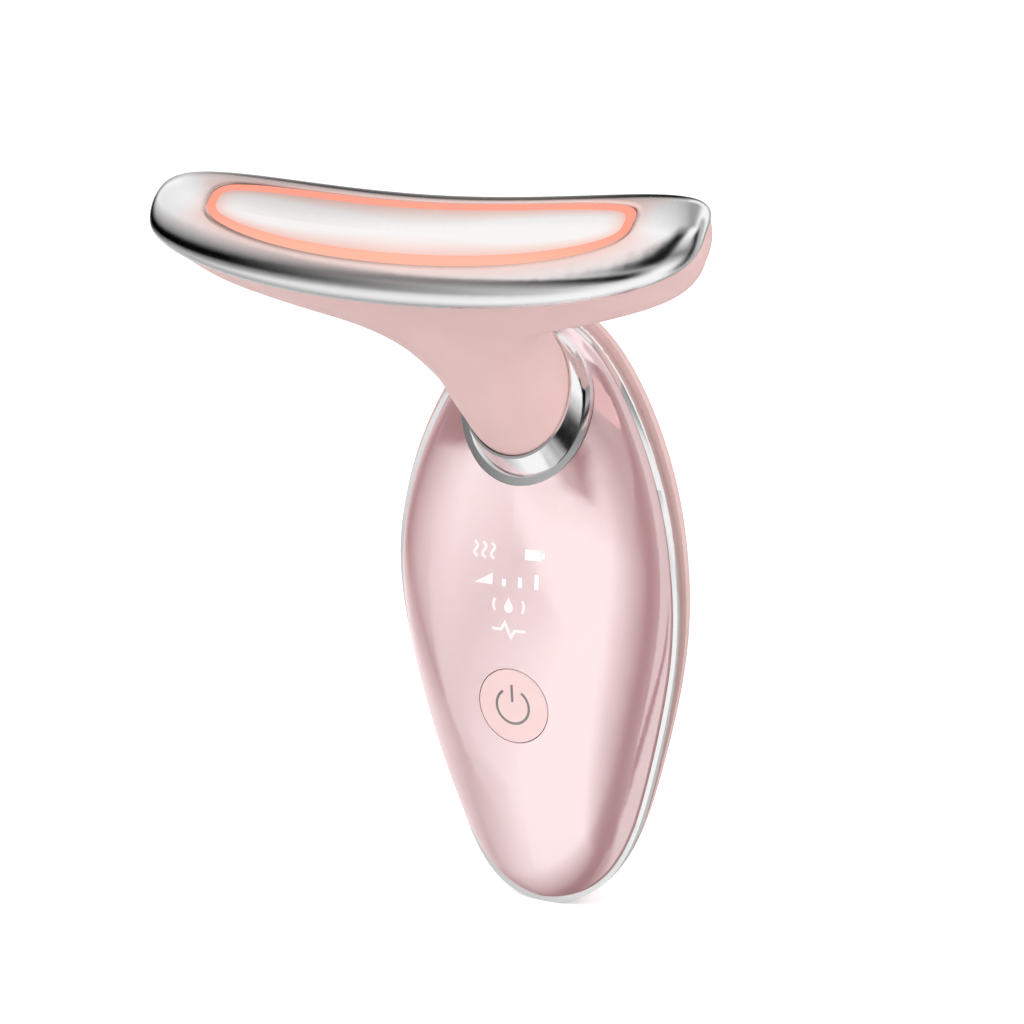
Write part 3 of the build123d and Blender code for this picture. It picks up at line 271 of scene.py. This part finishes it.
def painted_glow_group():
    """1 beside the light ring, falling to 0 a little way off: where the ring's light is painted into the
    metal's colour.
    """
    group, come, leave = new_group("painted_glow_share", [("Reach", "NodeSocketFloat", 3.0)],
                                   [("PaintedGlow", "NodeSocketFloat")])

    def step(operation, *values):
        return maths(group, operation, *values)

    moved = add(group, "ShaderNodeVectorMath", {0: own_place(group), 1: FACE_PLACE},
                operation="SUBTRACT").outputs["Vector"]
    along = add(group, "ShaderNodeSeparateXYZ", {"Vector": moved}).outputs["X"]
    across = add(group, "ShaderNodeVectorMath", {0: moved, 1: FACE_ACROSS},
                 operation="DOT_PRODUCT").outputs["Value"]
    u = step("ABSOLUTE", step("MULTIPLY", along, MILLIMETRES))
    bend = step("MULTIPLY", step("POWER", step("DIVIDE", u, FACE_HALF_LENGTH), 2.0), RING_BEND)
    v = step("SUBTRACT", step("MULTIPLY", across, MILLIMETRES), step("ADD", bend, RING_OFFSET))
    v = step("ABSOLUTE", v)
    # the ring is a superellipse in u and v: its level is 1 on the ring, and the slope makes that a distance
    shares = [step("DIVIDE", value, half) for value, half in zip((u, v), RING_HALVES)]
    total = step("ADD", *[step("POWER", share, RING_SQUARENESS) for share in shares])
    total = step("MAXIMUM", total, LEAST_TOTAL)
    level = step("POWER", total, 1 / RING_SQUARENESS)
    steep = step("POWER", total, 1 / RING_SQUARENESS - 1)
    slopes = [step("DIVIDE", step("POWER", share, RING_SQUARENESS - 1), half)
              for share, half in zip(shares, RING_HALVES)]
    slope = step("SQRT", step("ADD", *[step("POWER", value, 2.0) for value in slopes]))
    slope = step("MAXIMUM", step("MULTIPLY", slope, steep), LEAST_SLOPE)
    away = step("DIVIDE", step("ABSOLUTE", step("SUBTRACT", level, 1.0)), slope)
    near = step("SUBTRACT", 1.0, step("DIVIDE", away, come["Reach"]))
    group.links.new(step("POWER", step("MAXIMUM", near, 0.0), 2.0), leave["PaintedGlow"])
    return group


MAKERS = {"tone_drift": tone_drift_group, "gloss_drift": gloss_drift_group, "grain": grain_group,
          "brushed": brushed_group, "painted_glow_share": painted_glow_group}
SHARED = {}


def place_group(tree, name, **values):
    """Places a shared group, made when it is first asked for, and hands back its one output."""
    if name not in SHARED:
        SHARED[name] = MAKERS[name]()
    return add(tree, "ShaderNodeGroup", values, node_tree=SHARED[name]).outputs[0]


# ---------------------------------------------------------------- finishes

# how far the roughness of a finish drifts up from its setting
SATIN_DRIFT = 0.08
LACQUER_DRIFT = 0.03
WARM_HAZE = 0.03            # how much rougher the inner plate is than the chrome
EVEN_SAMPLES = 8


def opaque(tone):
    """A colour with its alpha."""
    return (*tone, 1.0)


def new_material(name):
    """A material of the plain kind, and its tree."""
    material = bpy.data.materials.new(name)
    material.use_nodes = True
    return material, material.node_tree


def new_finish(name, light, dark, low, high, tone_scale=60.0, gloss_scale=90.0):
    """A Principled finish whose colour and roughness drift, ready for a bump of its own."""
    material, tree = new_material(name)
    shader = tree.nodes["Principled BSDF"]
    tone = place_group(tree, "tone_drift", Light=opaque(light), Dark=opaque(dark), Scale=tone_scale)
    gloss = place_group(tree, "gloss_drift", Low=low, High=high, Scale=gloss_scale)
    tree.links.new(tone, shader.inputs["Base Color"])
    tree.links.new(gloss, shader.inputs["Roughness"])
    return material, tree, shader


def raise_grain(tree, shader, source, strength, depth):
    """Bumps the surface by a height between 0 and 1."""
    bump = add(tree, "ShaderNodeBump", {"Height": source, "Strength": strength, "Distance": depth})
    tree.links.new(bump.outputs["Normal"], shader.inputs["Normal"])


def moulded(name, light, dark, low, high, grain=0.00035, depth=0.000012, strength=0.5):
    """Moulded plastic with the fine grain of its mould."""
    material, tree, shader = new_finish(name, light, dark, low, high)
    raise_grain(tree, shader, place_group(tree, "grain", Scale=1.0 / grain), strength, depth)
    return material


def plated(name, light, dark, low, high, ripple=0.012, depth=0.0000008):
    """Polished plating: a mirror with a faint haze and a very slight ripple."""
    material, tree, shader = new_finish(name, light, dark, low, high, tone_scale=45.0, gloss_scale=160.0)
    shader.inputs["Metallic"].default_value = 1.0
    raise_grain(tree, shader, place_group(tree, "grain", Scale=1.0 / ripple), strength=0.3, depth=depth)
    return material


def ground(name, light, dark, low, high, stretch=(300.0, 6000.0, 6000.0), depth=0.00001):
    """Bare metal with the lines of grinding or drawing."""
    material, tree, shader = new_finish(name, light, dark, low, high)
    shader.inputs["Metallic"].default_value = 1.0
    raise_grain(tree, shader, place_group(tree, "brushed", Stretch=stretch), strength=0.5, depth=depth)
    return material


def lacquered(name, light, dark, rough, index, scale=350.0, depth=0.000003):
    """Deep glossy lacquer over a pale tone, with a slight unevenness."""
    material, tree, shader = new_finish(name, light, dark, rough, rough + LACQUER_DRIFT, tone_scale=40.0,
                                        gloss_scale=120.0)
    shader.inputs["IOR"].default_value = index
    raise_grain(tree, shader, place_group(tree, "grain", Scale=scale), strength=0.25, depth=depth)
    return material


def solder_mask():
    """Green solder mask over copper tracks, which stand a little proud of the glass fibre."""
    material, tree, shader = new_finish("solder_mask", (0.03, 0.20, 0.08), (0.02, 0.15, 0.06),
                                        low=0.2, high=0.32)
    turned = add(tree, "ShaderNodeMapping",
                 {"Vector": own_place(tree), "Rotation": (math.radians(90), 0, 0)})
    tracks = add(tree, "ShaderNodeTexBrick",
                 {"Vector": turned.outputs["Vector"], "Color1": (0.03, 0.22, 0.09, 1),
                  "Color2": (0.02, 0.17, 0.07, 1), "Mortar": (0.06, 0.32, 0.12, 1), "Scale": 260.0,
                  "Mortar Size": 0.06},
                 offset=0.5, squash=1.0)
    tree.links.new(tracks.outputs["Color"], shader.inputs["Base Color"])
    raise_grain(tree, shader, tracks.outputs["Fac"], strength=0.4, depth=0.00003)
    return material


def paint_ring_glow(material, tint):
    """Paints the ring's warm light into the colour of the metal beside it."""
    tree = material.node_tree
    tone = tree.nodes["Principled BSDF"].inputs["Base Color"]
    painted_ring_glow = place_group(tree, "painted_glow_share", Reach=PAINTED_GLOW_REACH)
    tree.links.new(mix(tree, painted_ring_glow, tone.links[0].from_socket, opaque(tint), blend_type="MULTIPLY"), tone)


def even_out(material, reach):
    """Averages the surface's direction over a short reach, so that the mirror runs smoothly."""
    tree = material.node_tree
    average = add(tree, "ShaderNodeBevel", {"Radius": reach}, samples=EVEN_SAMPLES)
    bump = tree.nodes["Principled BSDF"].inputs["Normal"].links[0].from_node
    tree.links.new(average.outputs["Normal"], bump.inputs["Normal"])


def dress(material, *names):
    """Gives pieces of the device their one material."""
    for name in names:
        mesh = nodes[name].data
        mesh.materials.clear()
        mesh.materials.append(material)


# name, maker, light tone, dark tone, least and greatest roughness, other values of the maker, pieces
INSIDE = (
    ("milky_film", moulded, (0.93, 0.93, 0.91), (0.89, 0.89, 0.87), 0.45, 0.6, {}, ("display_diffuser",)),
    ("baffle_white", moulded, (0.82, 0.82, 0.80), (0.76, 0.76, 0.74), 0.4, 0.55, {}, ("display_baffle",)),
    ("chip_resin", moulded, (0.035, 0.035, 0.037), (0.02, 0.02, 0.022), 0.45, 0.6, {},
     ("board_components", "thermistor")),
    ("lamp_body", moulded, (0.92, 0.90, 0.70), (0.85, 0.80, 0.52), 0.2, 0.35, {},
     ("display_leds", "head_leds")),
    ("connector_resin", moulded, (0.05, 0.05, 0.052), (0.03, 0.03, 0.032), 0.3, 0.45, {},
     ("tact_switch", "switch_plunger", "usb_tongue")),
    ("zinc_steel", ground, (0.66, 0.66, 0.67), (0.55, 0.55, 0.57), 0.22, 0.36, {},
     ("board_screws", "head_board_screws", "charge_screws", "clamp_screws", "neck_clamp", "usb_shell",
      "motor_can")),
    ("ground_steel", ground, (0.75, 0.75, 0.76), (0.66, 0.66, 0.68), 0.12, 0.22, {}, ("motor_shaft",)),
    ("heavy_metal", ground, (0.36, 0.36, 0.38), (0.28, 0.28, 0.30), 0.35, 0.5,
     {"stretch": (2500, 2500, 2500)}, ("motor_weight",)),
    ("gold_plate", plated, (0.88, 0.68, 0.30), (0.80, 0.60, 0.25), 0.12, 0.22, {},
     ("trim_contact", "contact_pins")),
    ("pouch_foil", ground, (0.74, 0.74, 0.76), (0.62, 0.62, 0.65), 0.28, 0.42, {"stretch": (900, 900, 900)},
     ("battery",)),
    ("closed_foam", moulded, (0.14, 0.14, 0.145), (0.08, 0.08, 0.085), 0.85, 0.95,
     {"grain": 0.0004, "depth": 0.00008, "strength": 1.0}, ("battery_pad",)),
    ("soft_rubber", moulded, (0.045, 0.045, 0.046), (0.03, 0.03, 0.031), 0.6, 0.75, {},
     ("motor_sleeve", "plate_gasket")),
    ("amber_film", moulded, (0.72, 0.36, 0.06), (0.62, 0.28, 0.04), 0.12, 0.25, {}, ("heater_film",)),
    ("wire_skin", moulded, (0.55, 0.06, 0.05), (0.45, 0.04, 0.035), 0.35, 0.5, {},
     ("battery_leads", "charge_leads", "head_harness")),
)


# ---------------------------------------------------------------- operators

# the trim ring's mesh: points this near are one, faces within this angle are one, and edges sharper than
# the last angle are rounded
WELD_DISTANCE = 0.000002
FLAT_ANGLE = math.radians(0.6)
SHARP_ANGLE = math.radians(40)
RING_FADE_MARGIN = 0.25     # share of the ring's height at each end that keeps one colour
# the battery and level marks lie to the right of and above these places, each with a short fade
BRIGHT_FROM_X = (-0.0020, -0.0016)
BRIGHT_FROM_Z = (0.0345, 0.0349)


def add_object(name, work):
    """Puts a worked shape in the scene as an object of its own."""
    mesh = bpy.data.meshes.new(name)
    work.to_mesh(mesh)
    work.free()
    made = bpy.data.objects.new(name, mesh)
    bpy.context.scene.collection.objects.link(made)
    return made


class FinishCovers(bpy.types.Operator):
    """Gives the front panel its lacquer, and the back, head and neck their satin pink"""
    bl_idname = "toner.finish_covers"
    bl_label = "Finish covers"

    def execute(self, context):
        covers = context.scene.toner_covers
        dress(moulded("satin_pink", covers.satin_light, covers.satin_dark, covers.satin_gloss,
                      covers.satin_gloss + SATIN_DRIFT, covers.grain_size), "head_shell", "rear_cover")
        dress(lacquered("pink_lacquer", covers.lacquer_light, covers.lacquer_dark, covers.lacquer_gloss,
                        covers.lacquer_index), "front_cover")
        return {"FINISHED"}


class FinishHeadMetal(bpy.types.Operator):
    """Plates the treatment plate, the inner plate, the collar and the trim ring, and paints the ring's light
    on the face and the inner plate
    """
    bl_idname = "toner.finish_head_metal"
    bl_label = "Finish head metal"

    def execute(self, context):
        metal = context.scene.toner_metal
        chrome = [metal.chrome_light, metal.chrome_dark, metal.polish, metal.polish + metal.haze]
        dress(plated("mirror_chrome", *chrome), "collar_ring", "trim_ring")
        face = plated("face_chrome", *chrome)
        rough = metal.polish + WARM_HAZE
        warm = plated("warm_polished_metal", metal.plate_light, metal.plate_dark, rough, rough + metal.haze)
        # the ring's warm light is painted into the colour of the face and of the inner plate
        for material, piece in ((face, "treatment_plate"), (warm, "centre_plate")):
            paint_ring_glow(material, metal.painted_ring_glow)
            dress(material, piece)
        even_out(face, metal.even_reach)
        return {"FINISHED"}


class RoundTrimRing(bpy.types.Operator):
    """Makes the trim ring with rounded edges in place of the plain one"""
    bl_idname = "toner.round_trim_ring"
    bl_label = "Round trim ring"

    def execute(self, context):
        metal = context.scene.toner_metal
        work = bmesh.new()
        work.from_mesh(nodes["trim_ring"].data)
        bmesh.ops.remove_doubles(work, verts=work.verts, dist=WELD_DISTANCE)
        bmesh.ops.dissolve_limit(work, angle_limit=FLAT_ANGLE, verts=work.verts, edges=work.edges)
        work.normal_update()
        sharp = [e for e in work.edges if len(e.link_faces) == 2 and e.calc_face_angle() > SHARP_ANGLE]
        if not sharp:
            raise RuntimeError("the trim ring has no sharp edges to round")
        bmesh.ops.bevel(work, geom=sharp, offset=metal.trim_round, offset_type="OFFSET", affect="EDGES",
                        segments=metal.trim_steps, profile=0.5, material=-1, clamp_overlap=True)
        for face in work.faces:
            face.smooth = True
        ring = add_object("trim_ring_round", work)
        # the name finds the plain chrome that came with the frame, because Blender numbers the plated one
        ring.data.materials.append(bpy.data.materials["mirror_chrome"])
        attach(ring, "wand")
        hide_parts("trim_ring")
        return {"FINISHED"}


class LightRing(bpy.types.Operator):
    """Lights the ring in the head"""
    bl_idname = "toner.light_ring"
    bl_label = "Light ring"

    def execute(self, context):
        glow = context.scene.toner_glow
        material, tree, shader = new_finish("glow_ring", (0.10, 0.03, 0.02), (0.07, 0.02, 0.015),
                                            low=0.2, high=0.3)
        low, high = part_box("light_ring")
        margin = RING_FADE_MARGIN * (high.z - low.z)
        height = add(tree, "ShaderNodeSeparateXYZ", {"Vector": own_place(tree)}).outputs["Z"]
        share = ramp(tree, height, low.z + margin, high.z - margin)
        tone = mix(tree, share, opaque(glow.ring_near), opaque(glow.ring_far))
        tree.links.new(tone, shader.inputs["Emission Color"])
        shader.inputs["Emission Strength"].default_value = glow.ring_strength
        dress(material, "light_ring")
        return {"FINISHED"}


class FinishButton(bpy.types.Operator):
    """Gives the power button its satin and its symbol a foil"""
    bl_idname = "toner.finish_button"
    bl_label = "Finish button"

    def execute(self, context):
        covers = context.scene.toner_covers
        dress(moulded("button_pink", covers.button_light, covers.button_dark, low=0.36, high=0.44,
                      grain=covers.grain_size), "power_button")
        dress(ground("symbol_foil", (0.36, 0.33, 0.33), (0.30, 0.28, 0.28), low=0.30, high=0.42),
              "power_symbol")
        return {"FINISHED"}


class LightMarks(bpy.types.Operator):
    """Lights the marks in the front panel, with the battery and level marks brightest"""
    bl_idname = "toner.light_marks"
    bl_label = "Light marks"

    def execute(self, context):
        glow = context.scene.toner_glow
        material, tree, shader = new_finish("lit_marks", (0.50, 0.40, 0.40), (0.46, 0.37, 0.37),
                                            low=0.15, high=0.25)
        place = add(tree, "ShaderNodeSeparateXYZ", {"Vector": own_place(tree)}).outputs
        share = maths(tree, "MULTIPLY", ramp(tree, place["X"], *BRIGHT_FROM_X),
                      ramp(tree, place["Z"], *BRIGHT_FROM_Z))
        faint, bright = [opaque([part * level for part in glow.mark_colour])
                         for level in (glow.mark_faint, glow.mark_bright)]
        tree.links.new(mix(tree, share, faint, bright), shader.inputs["Emission Color"])
        shader.inputs["Emission Strength"].default_value = 1.0
        dress(material, "display_icons")
        return {"FINISHED"}


class FinishInside(bpy.types.Operator):
    """Finishes the boards, the cell, the motor, the screws and the wires inside"""
    bl_idname = "toner.finish_inside"
    bl_label = "Finish inside"

    def execute(self, context):
        for name, maker, light, dark, low, high, more, pieces in INSIDE:
            dress(maker(name, light, dark, low, high, **more), *pieces)
        dress(solder_mask(), "main_board", "head_board", "charge_board")
        return {"FINISHED"}


# ---------------------------------------------------------------- studio

FLOOR_REACH = 3.0           # half of its side in metres
FLOOR_GLOW = 0.42           # added where the floor is seen, so that it looks as white as the background
WHITE = (1.0, 1.0, 1.0, 1.0)
SENSOR_WIDTH = 36.0         # in millimetres
LAMP_AIM = (0, 0, 0.04)


def toward(turn, rise):
    """Direction at an azimuth and an elevation, from the front towards the right."""
    return Vector((math.sin(turn) * math.cos(rise), -math.cos(turn) * math.cos(rise), math.sin(rise)))


def white_where_seen(tree):
    """1 for a ray from the camera or from a mirror or glass, and 0 for one that lights the object."""
    path = add(tree, "ShaderNodeLightPath").outputs
    seen = maths(tree, "MAXIMUM", path["Is Camera Ray"], path["Is Glossy Ray"])
    return maths(tree, "MAXIMUM", seen, path["Is Transmission Ray"])


def soft_lamp(name, place, width, height, power):
    """A lamp that lights the object and shows in no mirror."""
    data = bpy.data.lights.new(name, "AREA")
    data.shape = "RECTANGLE"
    data.size = width
    data.size_y = height
    data.energy = power
    lamp = bpy.data.objects.new(name, data)
    lamp.visible_glossy = False
    bpy.context.scene.collection.objects.link(lamp)
    place = Vector(place)
    away = (place - Vector(LAMP_AIM)).to_track_quat("Z", "Y").to_matrix().to_4x4()
    lamp.matrix_world = Matrix.Translation(place) @ away


def edge_fade(tree, source, soft):
    """0 in the middle of a side and 1 at both its ends, with a fade over the soft share."""
    far = maths(tree, "ABSOLUTE", maths(tree, "SUBTRACT", source, 0.5))
    return ramp(tree, far, 0.5 - 0.5 * soft, 0.5)


def dark_card(name, about, turn, rise, distance, width, height, roll, tone, soft_width, soft_height):
    """A dark or grey card with soft edges, which only glossy surfaces see, so that they show their shape."""
    out = toward(math.radians(turn), math.radians(rise))
    facing = (-out).to_track_quat("Z", "Y").to_matrix().to_4x4()
    facing = facing @ Matrix.Rotation(math.radians(roll), 4, "Z")
    sides = [2 * distance * math.tan(math.radians(angle / 2)) for angle in (width, height)]
    work = bmesh.new()
    work.loops.layers.uv.new("card")
    bmesh.ops.create_grid(work, x_segments=1, y_segments=1, size=0.5, calc_uvs=True)
    place = Matrix.Translation(Vector(about) + distance * out) @ facing
    bmesh.ops.transform(work, matrix=place @ Matrix.Diagonal((*sides, 1.0, 1.0)), verts=work.verts)
    card = add_object(name, work)
    material, tree = new_material(name)
    tree.nodes.remove(tree.nodes["Principled BSDF"])
    shade = add(tree, "ShaderNodeEmission", {"Color": opaque((tone, tone, tone))}).outputs["Emission"]
    clear = add(tree, "ShaderNodeBsdfTransparent").outputs["BSDF"]
    spot = add(tree, "ShaderNodeTexCoord").outputs["UV"]
    spot = add(tree, "ShaderNodeSeparateXYZ", {"Vector": spot}).outputs
    edge = maths(tree, "MAXIMUM", edge_fade(tree, spot["X"], soft_width),
                 edge_fade(tree, spot["Y"], soft_height))
    mixed = add(tree, "ShaderNodeMixShader", {"Fac": edge, 1: shade, 2: clear})
    tree.links.new(mixed.outputs["Shader"], tree.nodes["Material Output"].inputs["Surface"])
    card.data.materials.append(material)
    for seen_by in ("visible_camera", "visible_diffuse", "visible_shadow", "visible_transmission",
                    "visible_volume_scatter"):
        setattr(card, seen_by, False)


def build_floor(tone):
    """A pale floor that takes the object's shadow."""
    work = bmesh.new()
    bmesh.ops.create_grid(work, x_segments=1, y_segments=1, size=FLOOR_REACH)
    bmesh.ops.translate(work, vec=(0.0, 0.0, cad_box[0][2]), verts=work.verts)
    floor = add_object("floor", work)
    floor.visible_glossy = False
    material, tree = new_material("floor")
    shader = tree.nodes["Principled BSDF"]
    for socket, value in (("Base Color", opaque(tone)), ("Roughness", 0.9), ("Specular IOR Level", 0.1),
                          ("Emission Color", WHITE)):
        shader.inputs[socket].default_value = value
    glow = maths(tree, "MULTIPLY", white_where_seen(tree), FLOOR_GLOW)
    tree.links.new(glow, shader.inputs["Emission Strength"])
    floor.data.materials.append(material)


def build_world(level):
    """White where it is seen, and a plain level of light from all round elsewhere."""
    world = bpy.data.worlds.new("studio")
    bpy.context.scene.world = world
    world.use_nodes = True
    tree = world.node_tree
    lit = tree.nodes["Background"]
    lit.inputs["Color"].default_value = WHITE
    lit.inputs["Strength"].default_value = level
    white = add(tree, "ShaderNodeBackground", {"Color": WHITE, "Strength": 1.0})
    choose = add(tree, "ShaderNodeMixShader",
                 {"Fac": white_where_seen(tree), 1: lit.outputs["Background"],
                  2: white.outputs["Background"]})
    tree.links.new(choose.outputs["Shader"], tree.nodes["World Output"].inputs["Surface"])


def place_camera(studio):
    """Stands the camera in its place, turned, tilted and rolled as the settings say."""
    roll = studio.camera_roll
    right = Vector((math.cos(studio.camera_turn), math.sin(studio.camera_turn), 0.0))
    back = toward(studio.camera_turn, studio.camera_rise)
    up = back.cross(right)
    across = math.cos(roll) * right + math.sin(roll) * up
    above = -math.sin(roll) * right + math.cos(roll) * up
    data = bpy.data.cameras.new("camera")
    data.lens = studio.lens
    data.sensor_width = SENSOR_WIDTH
    camera = bpy.data.objects.new("camera", data)
    bpy.context.scene.collection.objects.link(camera)
    turned = Matrix((across, above, back)).transposed().to_4x4()
    camera.matrix_world = Matrix.Translation(Vector(studio.camera_place)) @ turned
    bpy.context.scene.camera = camera


WAND = (0.0, -0.02, 0.05)   # the middle of the wand, which most of the cards surround
CARDS = (
    # name, about, azimuth, elevation, distance, width, height, roll, tone and the two sides' soft shares;
    # angles are in degrees, and the width and the height are those that a card spans as seen from about
    ("card_head", (-0.0484, -0.0079, 0.094), -31, 4, 0.10, 106, 23, 0, 0.00, 0.20, 0.30),
    ("card_mist", (-0.0378, 0.0445, 0.0995), -39, 2, 0.085, 112, 24, 9, 0.00, 0.50, 0.90),
    ("card_head_shade", (-0.0213, -0.0189, 0.0714), -35, 32, 0.0881, 93, 33, 38, 0.87, 0.39, 1.00),
    ("card_end", WAND, -26, 43, 1.5, 18, 62, -12, 0.00, 0.62, 0.50),
    ("card_right", WAND, 51, 1, 1.5, 90, 118, 1, 0.00, 0.90, 0.05),
    ("card_upper", WAND, 9, 31, 1.45, 53, 76, -79, 0.21, 1.00, 0.05),
    ("card_side", WAND, 89, -2, 1.6, 78, 150, -1, 0.49, 0.51, 0.07),
    ("card_collar", WAND, 93, -37, 1.2, 11, 55, 47, 0.00, 0.61, 0.58),
    ("card_left", WAND, -93, 3, 1.5, 91, 62, 14, 0.00, 0.99, 0.63),
    ("card_low", (0.0100, -0.0128, 0.0018), -1, -84, 0.02, 116, 51, -30, 0.00, 0.79, 0.84),
    ("card_ground", WAND, -95, -48, 1.6, 64, 74, 56, 0.36, 1.00, 0.26),
    ("card_back", WAND, -163, -3, 1.5, 53, 121, 44, 0.47, 0.39, 0.78),
    ("card_edge", WAND, -164, -5, 1.45, 24, 105, 24, 0.01, 0.80, 0.43),
    ("card_far", WAND, 156, -40, 1.55, 66, 108, 50, 0.57, 0.05, 0.05),
    ("card_dusk", WAND, -128, 73, 1.7, 44, 61, 39, 0.36, 0.84, 0.10),
    ("card_haze", WAND, -23, 43, 1.7, 26, 68, 19, 0.95, 0.28, 0.82),
    ("card_lip", WAND, -47, -16, 1.7, 43, 60, 53, 0.63, 1.00, 0.15),
)


class BuildStudio(bpy.types.Operator):
    """Sets the floor, the surrounding light, the lamps, the cards and the camera"""
    bl_idname = "toner.build_studio"
    bl_label = "Build studio"

    def execute(self, context):
        studio = context.scene.toner_studio
        build_floor(studio.floor_colour)
        build_world(studio.ambient)
        soft_lamp("key_lamp", place=(-0.55, -0.55, 0.65), width=0.7, height=0.7, power=studio.key_power)
        soft_lamp("fill_lamp", place=(0.75, -0.2, 0.35), width=0.5, height=0.7, power=studio.fill_power)
        for card in CARDS:
            dark_card(*card)
        place_camera(studio)
        context.scene.view_settings.view_transform = "Standard"
        return {"FINISHED"}


class WandPanel(bpy.types.Panel):
    """Lists the wand's pieces and the studio"""
    bl_idname = "TONER_PT_wand"
    bl_label = "Toning Wand"
    bl_space_type = "VIEW_3D"
    bl_region_type = "UI"
    bl_category = "Toning Wand"

    def draw(self, context):
        layout = self.layout
        for operator in OPERATORS:
            layout.operator(operator.bl_idname)
        for name in SETTINGS:
            group = getattr(context.scene, name)
            box = layout.box()
            for prop in group.bl_rna.properties:
                if prop.identifier not in ("name", "rna_type"):
                    box.prop(group, prop.identifier)


OPERATORS = (FinishCovers, FinishHeadMetal, RoundTrimRing, LightRing, FinishButton, LightMarks, FinishInside,
             BuildStudio)
SETTINGS = {"toner_covers": CoverSettings, "toner_metal": MetalSettings, "toner_glow": GlowSettings,
            "toner_studio": StudioSettings}


def register():
    for group in SETTINGS.values():
        bpy.utils.register_class(group)
    for operator in OPERATORS:
        bpy.utils.register_class(operator)
    bpy.utils.register_class(WandPanel)
    for name, group in SETTINGS.items():
        setattr(bpy.types.Scene, name, PointerProperty(type=group))


def unregister():
    for name in SETTINGS:
        delattr(bpy.types.Scene, name)
    bpy.utils.unregister_class(WandPanel)
    for operator in reversed(OPERATORS):
        bpy.utils.unregister_class(operator)
    for group in reversed(list(SETTINGS.values())):
        bpy.utils.unregister_class(group)


def main():
    register()
    bpy.ops.toner.finish_covers()
    bpy.ops.toner.finish_head_metal()
    bpy.ops.toner.round_trim_ring()
    bpy.ops.toner.light_ring()
    bpy.ops.toner.finish_button()
    bpy.ops.toner.light_marks()
    bpy.ops.toner.finish_inside()
    bpy.ops.toner.build_studio()


if __name__ == "__main__":
    main()
